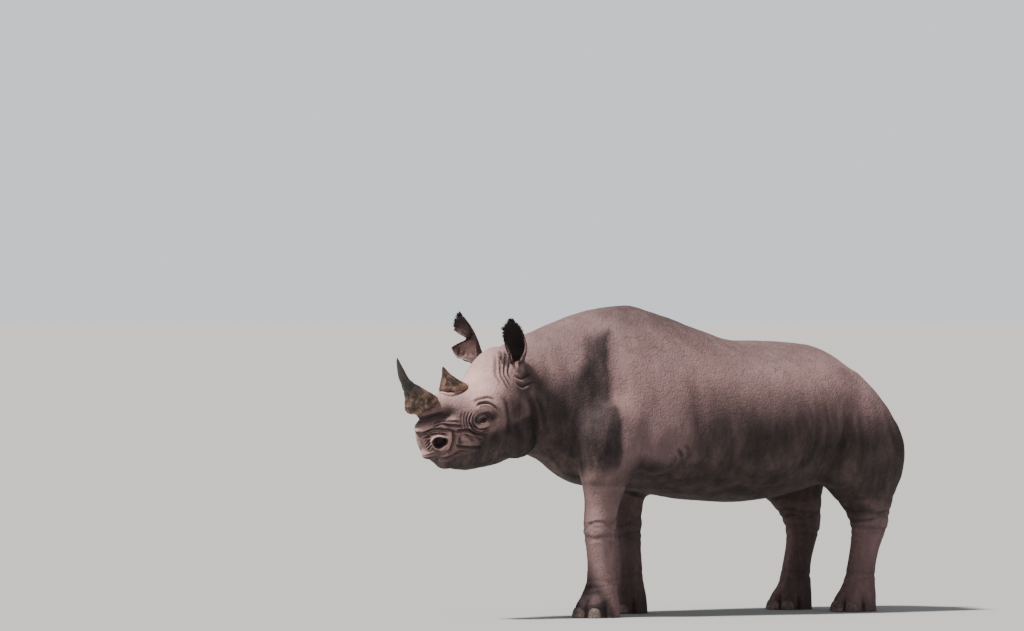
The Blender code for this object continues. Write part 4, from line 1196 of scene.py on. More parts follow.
def near_spots(points, spots, mirrored):
    """The strongest of soft round spots, each given by its place in the head, reach and strength."""
    head = in_head(points)
    found = np.zeros(len(points))
    for (u, v, w), reach, strength in spots:
        for side in SIDES.values() if mirrored else (1,):
            gap = np.linalg.norm(head - (u, v * side, w), axis=1)
            found = np.maximum(found, strength * bell(gap, reach))
    return found


def dust_and_painted_light(points):
    """1 where the hide is painted pale, with dust and painted light: forehead, bridge between the horns,
    upper lip, foreleg.
    """
    x, _, z = points.T
    # painted light on the front of the left foreleg
    leg = 0.42 * ramp(x, 0.28, 0.40) * ramp(z, 0.86, 0.78) * ramp(z, 0.10, 0.30)
    top, sides = near_spots(points, PALE_ON_TOP, False), near_spots(points, PALE_ON_SIDES, True)
    return np.maximum.reduce([top, sides, leg])


def shaded(points, normals):
    """1 where shade is painted on the hide: cheek, jaw, neck, ridge, low flanks, undersides and the legs'
    inner sides.
    """
    dark = near_spots(points, SHADE_SPOTS, True)
    x, y, z = points.T
    edge = on_line(x, NECK_DARK_BELOW) + 0.030 * lattice_noise(points, 0.085, 9)
    forward, _, up = in_head(points).T
    shoulder = on_line(z, SHOULDER_EDGE) + 0.014 * lattice_noise(points, 0.060, 10)
    neck = ramp(x, shoulder - 0.010, shoulder + 0.024) * ramp(z, edge + 0.07, edge - 0.07)
    neck *= ramp(forward, 0.04, -0.04) * ramp(z, 0.64, 0.76) * ramp(normals[:, 2], 0.95, 0.5)
    corner = 0.055 * ramp(forward, 0.32, 0.38)
    jaw = 1.05 * ramp(up, -0.200 - corner, -0.262 - corner)
    jaw *= ramp(forward, 0.56, 0.48) * ramp(forward, -0.06, 0.02)
    dark = np.maximum(np.maximum(dark, jaw) * ramp(normals[:, 2], 0.85, 0.2), neck)
    flank = ramp(z + 0.05 * ramp(x, -0.75, -0.95), 1.26, 0.88) * ramp(x, 0.02, -0.24)
    flank *= 0.35 + 0.65 * ramp(z, 0.44, 0.62)
    foreleg = 0.34 * ramp(z, 1.06, 0.84) * ramp(x, 0.36, 0.18)
    under = ramp(normals[:, 2], 0.0, -0.6) * ramp(z, 0.30, 0.50)
    ridge = ramp(normals[:, 2], 0.35, 0.95) * ramp(x, 0.66, 0.56) * ramp(z, 1.16, 1.34)
    ridge *= 0.48 + 0.30 * ramp(x, -0.50, -0.20) - 0.42 * ramp(x, 0.08, 0.28)
    ridge *= ramp(x, -1.24, -1.00)
    behind = 0.30 * bell(x - 0.05, 0.17) * ramp(z, 1.26, 1.36) * ramp(z, 1.54, 1.48)
    inner = 0.72 * ramp(-normals[:, 1] * np.sign(y), -0.1, 0.6) * ramp(z, 0.82, 0.62)
    return np.maximum.reduce([dark, flank, foreleg, under, ridge, behind, inner])


def ear_shade(points, normals):
    """1 where shade is painted in the ears' cups and on the back of the right ear, 0 elsewhere."""
    hollow = np.zeros(len(points))
    for hand in SIDES:
        local = in_ear(points, hand)
        facing = normals @ np.array(ear_frame(hand).inverted())[:3, :3].T
        part = local[:, 2] / EAR_HEIGHTS[hand]
        near = (np.abs(local[:, 0]) < 0.05) & (np.abs(local[:, 1]) < 0.030 + 0.9 * local[:, 2])
        inner = ramp(facing[:, 0], 0.0, 0.45) * ramp(part, 0.06, 0.16) * ramp(part, 1.02, 0.98)
        if hand == "left":
            edge = np.interp(part, *np.array(EAR).T[[0, 2]])
            pale_rim = ramp(local[:, 1] * SIDES[hand] - edge, -0.022, -0.012) * ramp(part, 0.78, 0.58)
            inner *= 1 - 0.9 * pale_rim
        else:
            behind = ramp(local[:, 1] * SIDES[hand], -0.002, -0.014)
            inner *= 0.95 * np.maximum(behind, bell(part - 0.61, 0.07))
            back = ramp(facing[:, 1] * SIDES[hand], -0.15, -0.55)
            back *= ramp(part, 0.05, 0.15) * ramp(part, 0.80, 0.60)
            inner = np.maximum(inner, 0.85 * back * ramp(facing[:, 0], -0.75, -0.35))
        hollow = np.maximum(hollow, near * inner)
    return hollow


def skin_piece(sizes):
    skin = raw_skin(sizes)
    blend_roots(skin)
    shape = Sculpture(skin)
    sculpt_body(shape)
    pinch_under_horns(shape)
    shape.apply()
    sculpt_face(shape, sizes)
    shape.apply()
    round_off_muzzle(shape)
    for side in SIDES.values():
        eyelids(shape, sizes, side)
        nostril(shape, side)
    inset = sizes.inset * ramp(shape.points[:, 2], 0.0, 0.01)
    inset *= np.where(regions_of(shape.points) == "ears", EAR_INSET, 1)
    shape.points -= normals_of(skin) * inset[:, None]
    shape.points[:, 2] = np.maximum(shape.points[:, 2], 0)
    set_coordinates(skin, shape.points)
    edit(skin.data, lambda made: bmesh.ops.triangulate(made, faces=made.faces))
    source = thin_skin(skin, sizes.skin_triangles)
    points, normals = coordinates(skin), normals_of(skin)
    for name, values in (
        ("shaded_crease", shape.shaded_crease[source]),
        ("flush", shape.flush[source]),
        ("dust_and_painted_light", dust_and_painted_light(points)),
        ("shaded", shaded(points, normals)),
        ("ear_shade", ear_shade(points, normals)),
    ):
        paint_points(skin, name, values)
    return skin


def paint_points(obj, name, values):
    layer = obj.data.attributes.new(name, "FLOAT", "POINT")
    layer.data.foreach_set("value", np.asarray(values, np.float32))


# ---------------------------------------------------------------- horns
def level_frame():
    """Where the head stands and turns, without its tilt."""
    return Matrix.Translation(HEAD_AT) @ Matrix.Rotation(HEAD_YAW, 4, "Z")


def horn_piece(name, stations, fibre, rim, seed):
    """A horn of matted fibres: ragged and overhanging at its base, smoother to the tip."""
    rows = smooth_rows([(f, z, 0, a, b) for f, z, a, b in stations], HORN_RINGS)
    rows[:, 3:] *= np.sqrt(np.clip(np.linspace(1 / HORN_BLUNT, 0, HORN_RINGS), 0.01, 1))[:, None]
    around = np.column_stack(circle(HORN_SIDES))
    rings = []
    for f, z, _, a, b in rows:
        rings.append(np.column_stack([(f, 0) + around * (a, b), np.full(HORN_SIDES, z)]))
    horn = loft(name, rings)
    points, normals = coordinates(horn), normals_of(horn)
    along = np.repeat(np.arange(HORN_RINGS) / (HORN_RINGS - 1), HORN_SIDES)
    strand = np.column_stack([np.tile(around, (HORN_RINGS, 1)) * 0.080, along * 0.12])
    coarse = lattice_noise(strand, 0.019, seed)
    fine = lattice_noise(strand * (1, 1, 0.5), 0.0065, seed + 1)
    lumps = lattice_noise(points, 0.034, seed + 2)
    knobs = lattice_noise(points, 0.013, seed + 4)
    rough = 1 - ramp(points[:, 2], rim[2], rim[2] + 0.05)
    lift = (0.22 + 0.78 * rough) * fibre * (0.8 * coarse + 0.7 * fine - 0.5)
    lift += rough * fibre * (1.7 * lumps + 0.9 * knobs - 0.6)
    level = rim[0] + rim[1] * (stations[1][0] - points[:, 0])
    ragged = level + 0.006 * lattice_noise(strand, 0.030, seed + 3) + 0.003 * fine
    tuck = 1 - ramp(points[:, 2], ragged - 0.008, ragged)
    lift -= 0.014 * tuck + 0.9 * np.maximum(ragged - 0.008 - points[:, 2], 0)
    lift += 0.003 * bell(points[:, 2] - ragged - 0.012, 0.012)
    lift *= ramp(along, 1.0, 0.97)
    points += normals * lift[:, None]
    set_coordinates(horn, points)
    paint_points(horn, "above_rim", points[:, 2] - level)
    # Painted shade in the horn's grooves and under its ragged rim.
    paint_points(horn, "shaded_crease", np.clip(-lift / 0.004, 0, 1) * (1 - tuck) + tuck)
    layer = horn.data.attributes.new("strand", "FLOAT_VECTOR", "POINT")
    layer.data.foreach_set("vector", strand.astype(np.float32).ravel())
    horn.data.transform(level_frame())
    return horn


# ---------------------------------------------------------------- eyes
def eye_piece(name, side, radius):
    """An eyeball of fine rings about its gaze, with a slight dome over the iris."""
    gaze = Vector((0.40, side * 0.90, 0.02)).normalized()
    rings, sides = EYE_RINGS, EYE_SIDES
    points, angles = [], []
    for i in range(rings + 1):
        angle = math.pi * i / rings
        reach = radius * (1 - EYE_SUNK) + EYE_DOME * math.exp(-((angle / EYE_DOME_SPREAD) ** 2))
        count = 1 if i in (0, rings) else sides
        for j in range(count):
            turn = 2 * math.pi * j / sides
            out = reach * math.sin(angle)
            points.append((out * math.cos(turn), out * math.sin(turn), reach * math.cos(angle)))
            angles.append(angle)
    faces = [(0, 1 + j, 1 + (j + 1) % sides) for j in range(sides)]
    for i in range(rings - 2):
        for j in range(sides):
            near, far = 1 + i * sides + j, 1 + i * sides + (j + 1) % sides
            faces.append((near, near + sides, far + sides, far))
    last = 1 + (rings - 1) * sides
    faces += [(last, last - sides + (j + 1) % sides, last - sides + j) for j in range(sides)]
    ball = mesh_object(name, points, faces)
    paint_points(ball, "from_gaze", angles)
    turn = gaze.to_track_quat("Z", "X").to_matrix().to_4x4()
    place = Matrix.Translation(eye_centre(side))
    ball.data.transform(head_matrix() @ place @ turn)
    return ball


# ---------------------------------------------------------------- toenails
def toenail_grid(leg, turn, half, seed):
    """Points and faces of one nail: a thick shield, rounded above and flat below."""
    side = STANCE[leg][1]
    x, out, length, width = sole_of(leg)
    turn = math.radians(turn)
    rim = Vector((x + length * math.cos(turn), side * (out + width * math.sin(turn)), 0))
    facing = Vector((math.cos(turn) / length, side * math.sin(turn) / width, 0)).normalized()
    across, up = np.meshgrid(np.linspace(-1, 1, NAIL_COLUMNS), np.linspace(0, 1, NAIL_ROWS))
    arch = np.sqrt(np.maximum(1 - (up * 0.985) ** 2.6, 0))
    y = across * half * (0.25 + 0.75 * arch) * 0.98
    z = up * NAIL_HEIGHT * (1 - 0.10 * across**2)
    pillow = np.maximum(1 - np.abs(across) ** 4, 0) ** 0.5 * np.maximum(1 - up**5, 0) ** 0.5
    flat = np.column_stack([y.ravel(), z.ravel(), np.full(y.size, 0.0)])
    grooves = lattice_noise(flat * (1, 0.12, 1), 0.0035, seed) * 0.0007
    bands = lattice_noise(flat * (0.25, 1, 1), 0.006, seed + 1) * 0.0006
    front = NAIL_THICKNESS * 0.5 * pillow.ravel() + (grooves + bands) * pillow.ravel()
    sheet = np.column_stack([front, y.ravel(), z.ravel()])
    back = np.column_stack([np.full(y.size, -NAIL_THICKNESS * 0.4), y.ravel() * 0.92, z.ravel()])
    points = np.vstack([sheet, back])
    points[:, 0] += 0.003 - 4.5 * points[:, 1] ** 2 - 0.26 * points[:, 2]
    count = y.size
    faces = []
    for i in range(NAIL_ROWS - 1):
        for j in range(NAIL_COLUMNS - 1):
            a = i * NAIL_COLUMNS + j
            quad = (a, a + 1, a + 1 + NAIL_COLUMNS, a + NAIL_COLUMNS)
            faces.append(quad)
            faces.append(tuple(count + k for k in reversed(quad)))
    edge = list(range(NAIL_COLUMNS))
    edge += [i * NAIL_COLUMNS + NAIL_COLUMNS - 1 for i in range(1, NAIL_ROWS)]
    edge += [(NAIL_ROWS - 1) * NAIL_COLUMNS + j for j in range(NAIL_COLUMNS - 2, -1, -1)]
    edge += [i * NAIL_COLUMNS for i in range(NAIL_ROWS - 2, 0, -1)]
    for a, b in zip(edge, edge[1:] + edge[:1]):
        faces.append((a, a + count, b + count, b))
    stand = rim - facing * (NAIL_THICKNESS / 2 - NAIL_STEP) + Vector((0, 0, NAIL_LIFT))
    place = Matrix.Translation(stand)
    place = place @ facing.to_track_quat("X", "Z").to_matrix().to_4x4()
    return moved(points, place), faces


def toenails_piece(leg):
    points, faces, count = [], [], 0
    for i, (_, turn, half) in enumerate(TOENAILS):
        grid, quads = toenail_grid(leg, turn, half, 200 + 7 * i + len(leg))
        points.append(grid)
        faces += [tuple(count + k for k in quad) for quad in quads]
        count += len(grid)
    return mesh_object("toenails_" + leg.replace("leg", ""), np.vstack(points), faces)


# ---------------------------------------------------------------- hair
class Tufts:
    """Tapered, bending tufts of hair gathered into one mesh, with the OFBake map."""

    def __init__(self, seed):
        self.points, self.faces, self.uvs = [], [], []
        self.draw = np.random.default_rng(seed)

    def add(self, root, way, length, thickness, bend, rings=6):
        """One tuft from its root along a way that bends by the given vector towards the tip."""
        first, sides = len(self.points), TUFT_SIDES
        way = Vector(way).normalized()
        aside = way.orthogonal().normalized()
        spin = self.draw.uniform(0, 2 * math.pi)
        for i in range(rings):
            t = i / (rings - 1)
            middle = Vector(root) + way * (length * t) + Vector(bend) * (length * t * t)
            radius = thickness * (1 - t) ** 0.7 + 0.0002
            for j in range(sides):
                turn = Matrix.Rotation(spin + 2 * math.pi * j / sides, 3, way)
                self.points.append(middle + turn @ aside * radius)
        u, v = self.place_on_unwrap(Vector(root))
        across, up = TUFT_PATCH / sides, TUFT_PATCH / rings
        for i in range(rings - 1):
            for j in range(sides):
                a, b = first + i * sides + j, first + i * sides + (j + 1) % sides
                self.faces.append((a, b, b + sides, a + sides))
                corners = ((j, i), (j + 1, i), (j + 1, i + 1), (j, i + 1))
                self.uvs += [(u + across * s, v + up * r) for s, r in corners]
        for end in (0, rings - 1):
            loop = [first + end * sides + j for j in range(sides)]
            self.faces.append(tuple(reversed(loop)) if end == 0 else tuple(loop))
            self.uvs += [(u + across * j, v + up * end) for j in range(sides)]

    @staticmethod
    def place_on_unwrap(root):
        """The skin laid out flat: its left side in one half of the map, its right in the other."""
        along = (root.x + 1.7) / 3.4
        up = 0.02 + 0.94 * root.z / 1.6
        return 0.01 + 0.48 * along + (0.5 if root.y < 0 else 0.0), up

    def piece(self, name):
        mesh = bpy.data.meshes.new(name)
        mesh.from_pydata([tuple(p) for p in self.points], [], self.faces)
        layer = mesh.uv_layers.new(name="OFBake")
        layer.data.foreach_set("uv", np.array(self.uvs, np.float32).ravel())
        return placed(name, mesh)


def ear_fringe(hand, wall, length):
    """Black hair in uneven clumps round the upper rim of the ear, longest at its tip."""
    tufts = Tufts(HAIR_SEEDS[hand])
    rings = ear_rings(hand, wall, RINGS["ear_rim"], EAR_STEPS)
    steps = len(rings[0]) // 2
    matrix = ear_frame(hand)
    turn = matrix.to_3x3()
    for outer, part, size, hairs in FRINGE[hand]:
        for _ in range(int(hairs * FRINGE_DENSITY)):
            at = min(0.995, part + tufts.draw.normal(0, 0.020))
            ring = rings[int(at * (len(rings) - 1))]
            edge = (steps - 1, steps) if outer else (0, 2 * steps - 1)
            inset = (0.18 + 0.80 * ramp(at, 0.94, 0.98)) * tufts.draw.uniform()
            middle = (ring[steps // 2] + ring[-steps // 2 - 1]) / 2
            rim = (ring[edge[0]] + ring[edge[1]]) / 2 * (1 - inset) + middle * inset
            outwards = Vector((0, 1 if (rim[1] - middle[1]) > 0 else -1, 0))
            tip = ramp(at, 0.80, 1.0)
            way = outwards * (1.0 - 0.85 * tip) + Vector((0.20, 0, 0.50 + 1.2 * tip))
            way += Vector(tufts.draw.normal(0, 0.13, 3))
            bend = Vector((0.10, 0, 0.10)) + Vector(tufts.draw.normal(0, 0.12, 3))
            hair = length * size * tufts.draw.uniform(0.55, 1.1)
            thickness = tufts.draw.uniform(0.0005, 0.0010)
            tufts.add(matrix @ Vector(rim), turn @ way, hair, thickness, turn @ bend)
    return tufts.piece("ear_fringe_" + hand)


def tail_bristles():
    """Stiff black bristles in two rows down the end of the tail."""
    tufts = Tufts(HAIR_SEEDS["tail"])
    rows = tail_rows(200)
    for _ in range(BRISTLES):
        z = tufts.draw.uniform(DOCK_END - 0.01, DOCK_END + 0.13)
        row = rows[np.argmin(np.abs(rows[:, 1] - z))]
        fore = tufts.draw.choice((-1, 1))
        drop = ramp(z, DOCK_END + 0.13, DOCK_END)
        root = Vector((row[0] + fore * 0.008, tufts.draw.normal(0, 0.004), z))
        way = Vector((fore * (0.22 - 0.10 * drop), tufts.draw.normal(0, 0.05), -1))
        size = (z - TAIL[-1][1]) * tufts.draw.uniform(0.55, 1.0)
        size = min(size, 0.125 * tufts.draw.uniform(0.75, 1.0))
        tufts.add(root, way, size, 0.0013, Vector((-fore * 0.10, 0, 0)), 7)
    return tufts.piece("tail_bristles")


def lashes():
    """Short dark lashes over each eye."""
    tufts = Tufts(HAIR_SEEDS["lashes"])
    head = head_matrix()
    turn = head.to_3x3()
    for side in SIDES.values():
        out = lids_face(side)
        along = (Vector((1, 0, 0)) - out * out.x).normalized()
        up = (Vector((0, 0, 1)) - out * out.z).normalized()
        centre = Vector(eye_centre(side))
        for _ in range(LASHES):
            a = tufts.draw.uniform(-0.021, 0.019)
            b = 0.0125 * (1 - (a / 0.026) ** 2)
            o = math.sqrt(0.0305**2 - a * a - b * b)
            root = centre + along * a + up * b + out * o
            way = out * 0.8 + up * 0.1 + along * (a * 12) + Vector(tufts.draw.normal(0, 0.08, 3))
            length = 0.014 * tufts.draw.uniform(0.6, 1.1)
            tufts.add(head @ root, turn @ way, length, 0.0006, turn @ (up * -0.5), 5)
    return tufts.piece("lashes")


# ---------------------------------------------------------------- finishes
class Flow:
    """A socket of a material; plain sums on it add Math nodes."""

    def __init__(self, finish, socket):
        self.finish, self.socket = finish, socket

    def maths(self, operation, first, second):
        return self.finish.node("ShaderNodeMath", {"operation": operation}, {0: first, 1: second})

    def __add__(self, other):
        return self.maths("ADD", self, other)

    def __sub__(self, other):
        return self.maths("SUBTRACT", self, other)

    def __mul__(self, other):
        return self.maths("MULTIPLY", self, other)

    def __rsub__(self, other):
        return self.maths("SUBTRACT", other, self)

    __radd__ = __add__
    __rmul__ = __mul__

    def within(self, low, high):
        """0 below the low value and 1 above the high one, eased; the two may be swapped."""
        if low > high:
            return 1 - self.within(high, low)
        settings = {"interpolation_type": "SMOOTHSTEP", "clamp": True}
        values = {"Value": self, "From Min": low, "From Max": high}
        return self.finish.node("ShaderNodeMapRange", settings, values)


class Finish:
    """A material, with one method for any node and a few for the common ones."""

    def __init__(self, name, roughness, specular):
        self.material = bpy.data.materials.new(name)
        self.material.use_nodes = True
        self.tree = self.material.node_tree
        self.shader = self.tree.nodes["Principled BSDF"]
        self.shader.inputs["Roughness"].default_value = roughness
        self.shader.inputs["Specular IOR Level"].default_value = specular

    def put(self, socket, value):
        if isinstance(value, Flow):
            self.tree.links.new(value.socket, socket)
        else:
            socket.default_value = value

    def node(self, kind, settings=None, inputs=None, out=0):
        """Adds a node: its settings first, then the values or links of its sockets."""
        made = self.tree.nodes.new(kind)
        for key, value in (settings or {}).items():
            setattr(made, key, value)
        for key, value in (inputs or {}).items():
            self.put(made.inputs[key], value)
        return Flow(self, made.outputs[out])

    def here(self):
        return self.node("ShaderNodeTexCoord", out="Object")

    def painted(self, name, out="Fac"):
        return self.node("ShaderNodeAttribute", {"attribute_name": name}, out=out)

    def vector(self, operation, *values):
        return self.node("ShaderNodeVectorMath", {"operation": operation}, dict(enumerate(values)))

    def stretched(self, at, *share):
        """A place whose axes are multiplied by the given numbers, so that what it feeds is stretched."""
        return self.vector("MULTIPLY", at, share)

    def noise(self, at, scale, detail=3, roughness=0.55, out="Fac"):
        values = {"Vector": at, "Scale": scale, "Detail": detail, "Roughness": roughness}
        return self.node("ShaderNodeTexNoise", None, values, out)

    def cells(self, at, scale, feature="F1"):
        values = {"Vector": at, "Scale": scale, "Randomness": 1.0}
        return self.node("ShaderNodeTexVoronoi", {"feature": feature}, values, "Distance")

    def mix(self, first, second, share):
        """Two colours mixed by a share."""
        settings = {"data_type": "RGBA", "blend_type": "MIX", "clamp_factor": True}
        first, second = (c if isinstance(c, Flow) else (*c, 1) for c in (first, second))
        return self.node("ShaderNodeMix", settings, {0: share, 6: first, 7: second}, 2)

    def colour(self, base, *layers):
        """The base colour, with other colours laid over it, each by its own share."""
        for colour, share in layers:
            base = self.mix(base, colour, share)
        self.put(self.shader.inputs["Base Color"], base)

    def rough(self, value):
        self.put(self.shader.inputs["Roughness"], value)

    def relief(self, height):
        """Height in metres, as bump."""
        values = {"Strength": 1.0, "Distance": 1.0, "Height": height}
        self.put(self.shader.inputs["Normal"], self.node("ShaderNodeBump", None, values))


def hide_finish(colours):
    """Dry, finely pebbled, wrinkled grey-brown skin, with painted shade in its folds and shaded places, dust
    and painted light on top.
    """
    hide = Finish("hide", 0.78, 0.30)
    at = hide.here()
    drift = hide.vector("SUBTRACT", hide.noise(at, 7.0, 3, 0.5, "Color"), (0.5, 0.5, 0.5))
    bent = hide.vector("ADD", at, hide.stretched(drift, 0.045, 0.045, 0.045))
    pebbles = hide.cells(hide.stretched(bent, 1.0, 1.0, 0.85), 96)
    grit = hide.cells(bent, 150)
    webbing = hide.cells(hide.stretched(bent, 1.0, 1.0, 0.70), 27, "DISTANCE_TO_EDGE")
    cracks = webbing.within(0.0, 0.13)
    rows = hide.noise(hide.stretched(bent, 7.0, 7.0, 26.0), 3.0, 3, 0.6)
    draping = hide.noise(hide.stretched(bent, 20.0, 20.0, 3.5), 1.6, 4, 0.55)
    grain = hide.noise(at, 300, 3, 0.6)
    mottle = hide.noise(at, 46, 4, 0.65)
    patches = hide.noise(at, 3.0, 4, 0.6)
    smears = hide.noise(hide.stretched(at, 1.0, 1.0, 0.40), 13, 5, 0.65)
    facing = hide.node("ShaderNodeNewGeometry", out="Normal")
    upward = hide.node("ShaderNodeSeparateXYZ", None, {0: facing}, "Z")

    # Lighter on up-facing skin, from dust and from painted light from above, and in random smears of dust.
    dust = upward.within(-0.2, 1.0) * 0.45 + smears.within(0.42, 0.72) * 0.40
    hide.colour(
        colours.hide_grey,
        (colours.hide_brown, patches.within(0.40, 0.60)),
        (colours.hide_dust, dust * 0.75),
        (colours.hide_dust, (1 - pebbles.within(0.10, 0.45)) * 0.16),
        (colours.hide_dark, mottle.within(0.56, 0.74) * 0.34),
        # Darker in the fine cracks, in patches: painted shade.
        (colours.hide_dark, (1 - cracks) * draping.within(0.44, 0.60) * 0.22),
        # From here on: dust and painted light, painted shade, painted highlight on rims, painted shade in
        # creases and in the ears' cups.
        (colours.hide_pale, hide.painted("dust_and_painted_light") * (0.50 + smears * 0.7)),
        (colours.hide_dark, hide.painted("shaded") * (1.25 - smears * 0.7) * 0.98),
        (colours.hide_highlight, hide.painted("flush") * 0.75),
        (colours.hide_dark, hide.painted("shaded_crease") * 0.90),
        (EAR_SHADOW, hide.painted("ear_shade") * 0.90),
    )
    hide.rough(0.72 + grain * 0.20)
    hide.relief(
        (1 - pebbles.within(0.05, 0.75)) * 0.0012
        + (1 - grit.within(0.0, 0.8)) * 0.0006
        + cracks * 0.0007
        + rows * 0.0012
        + draping * 0.0022
        + mottle * 0.0014
        + grain * 0.0005
    )
    return hide.material


def horn_finish(colours):
    """Matted horn: orange-brown fibres at its foot, dark and smoother to the tip, with painted shade in its
    grooves.
    """
    horn = Finish("horn", 0.6, 0.4)
    strand = horn.painted("strand", "Vector")
    above = horn.painted("above_rim")
    at = horn.here()
    fibres = horn.noise(horn.stretched(strand, 1.0, 1.0, 0.30), 130, 4, 0.65)
    strands = horn.noise(horn.stretched(strand, 1.0, 1.0, 0.45), 48, 3, 0.6)
    blotches = horn.noise(at, 24, 4, 0.65)
    flecks = horn.noise(at, 75, 3, 0.6)
    foot = above.within(0.045, 0.012) * strands.within(0.30, 0.50)
    to_tip = (above + (blotches - 0.5) * 0.07).within(0.090, 0.135)
    horn.colour(
        colours.horn_base,
        (colours.horn_dark, blotches.within(0.42, 0.57) * 0.92),
        (colours.horn_band, foot * (0.25 + 0.75 * blotches.within(0.60, 0.40)) * 0.90),
        (colours.horn_dark, fibres.within(0.56, 0.40) * 0.50),
        (colours.horn_tip, to_tip * 0.92),
        (colours.hide_dust, flecks.within(0.66, 0.76) * 0.5 * (1 - to_tip)),
        (HORN_SHADE, horn.painted("shaded_crease") * 0.70),
    )
    horn.rough(0.52 + fibres * 0.30 - to_tip * 0.12)
    horn.relief((fibres * 0.0016 + strands * 0.0016) * (1.1 - to_tip) + (blotches + flecks) * 0.0012)
    return horn.material


def eye_finish(colours):
    """A wet dark eye: near-black pupil, deep brown iris, a little dusky white at its edge."""
    eye = Finish("eyeball", 0.12, 0.16)
    angle = eye.painted("from_gaze")
    at = eye.here()
    rays = eye.noise(at, 600, 3, 0.6)
    eye.colour(
        PUPIL,
        (
            eye.mix(colours.iris, IRIS_RAYS, rays.within(0.40, 0.65) * 0.7),
            (angle + (rays - 0.5) * 0.03).within(0.22, 0.27),
        ),
        (IRIS_RIM, angle.within(0.44, 0.50)),
        (DUSKY_WHITE, angle.within(0.58, 0.80)),
    )
    return eye.material


def nail_finish(colours):
    """Worn, dusty toenails with fine upright grooves."""
    nail = Finish("nail", 0.55, 0.4)
    at = nail.here()
    grooves = nail.noise(nail.stretched(at, 1.0, 1.0, 0.12), 260, 3, 0.6)
    bands = nail.noise(nail.stretched(at, 0.2, 0.2, 1.0), 90, 3, 0.6)
    dust = nail.noise(at, 24, 4, 0.6)
    nail.colour(
        colours.nail_dark,
        (colours.nail_light, grooves.within(0.35, 0.70)),
        (colours.nail_light, bands.within(0.55, 0.75) * 0.5),
        (colours.hide_dust, dust.within(0.45, 0.65) * 0.55),
    )
    nail.rough(0.45 + dust * 0.35)
    nail.relief(grooves * 0.0006 + bands * 0.0004)
    return nail.material


def hair_finish(colours):
    hair = Finish("hair", 0.55, 0.45)
    streaks = hair.noise(hair.here(), 180, 2, 0.5)
    hair.colour(colours.hair, (HAIR_STREAK, streaks.within(0.45, 0.75)))
    return hair.material


def floor_finish(colours):
    floor = Finish("floor", 0.9, 0.2)
    floor.colour((*colours.floor, 1))
    return floor.material


def dress(obj, material, sharp=None):
    """Gives an object its material and smooth shading, but for edges past a sharp angle."""
    mesh = obj.data
    mesh.name = obj.name
    mesh.materials.clear()
    mesh.materials.append(material)
    mesh.shade_smooth()
    if sharp:
        mesh.set_sharp_from_angle(angle=math.radians(sharp))


# ---------------------------------------------------------------- placing
def cad_shift():
    """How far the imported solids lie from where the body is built."""
    low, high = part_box("eye_left")
    shift = (low + high) / 2 - head_matrix() @ EYE_AT
    return Vector((shift.x, shift.y, 0))


def hand_over(piece, material, slot, *nodes, sharp=None):
    """Dresses a piece, moves it onto the solids and hides the parts that it stands in for."""
    dress(piece, material, sharp)
    piece.data.transform(Matrix.Translation(cad_shift()))
    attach(piece, "root")
    if nodes:
        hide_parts(*nodes)


# ---------------------------------------------------------------- sizes and colours
def length_property(name, description, default):
    values = {"name": name, "description": description, "default": default}
    return FloatProperty(**values, min=0, unit="LENGTH", precision=4)


def colour_property(name, description, default):
    values = {"name": name, "description": description, "default": default}
    return FloatVectorProperty(**values, subtype="COLOR", min=0, max=1)


class RhinoSizes(bpy.types.PropertyGroup):
    """Sizes of the animal and of the floor."""

    skin_clay: length_property("Skin clay", "Edge of the blocks the skin is welded from", 0.0085)
    skin_triangles: IntProperty(name="Skin triangles", description="How many the skin keeps", default=190000)
    inset: length_property("Skin inset", "How far the skin lies inside the solids", 0.0020)
    ear_wall: length_property("Ear wall", "Thickness of the ear at its root", 0.010)
    eye_radius: length_property("Eye radius", "Radius of the eyeball", 0.027)
    eye_opening: length_property("Eye opening", "Half length of the gap between the lids", 0.026)
    lid_thickness: length_property("Lid thickness", "How far the lids stand over the eyeball", 0.0035)
    horn_fibre: length_property("Horn fibre", "Roughness of the horns' fibres at the base", 0.0022)
    fringe_length: length_property("Ear fringe", "Length of the hair at the tip of an ear", 0.022)
    floor_size: length_property("Floor", "Radius of the round floor", 1500.0)
    fold_depth: FloatProperty(name="Fold depth", description="Depth of the face's folds", default=1.25,
                              min=0, subtype="FACTOR")


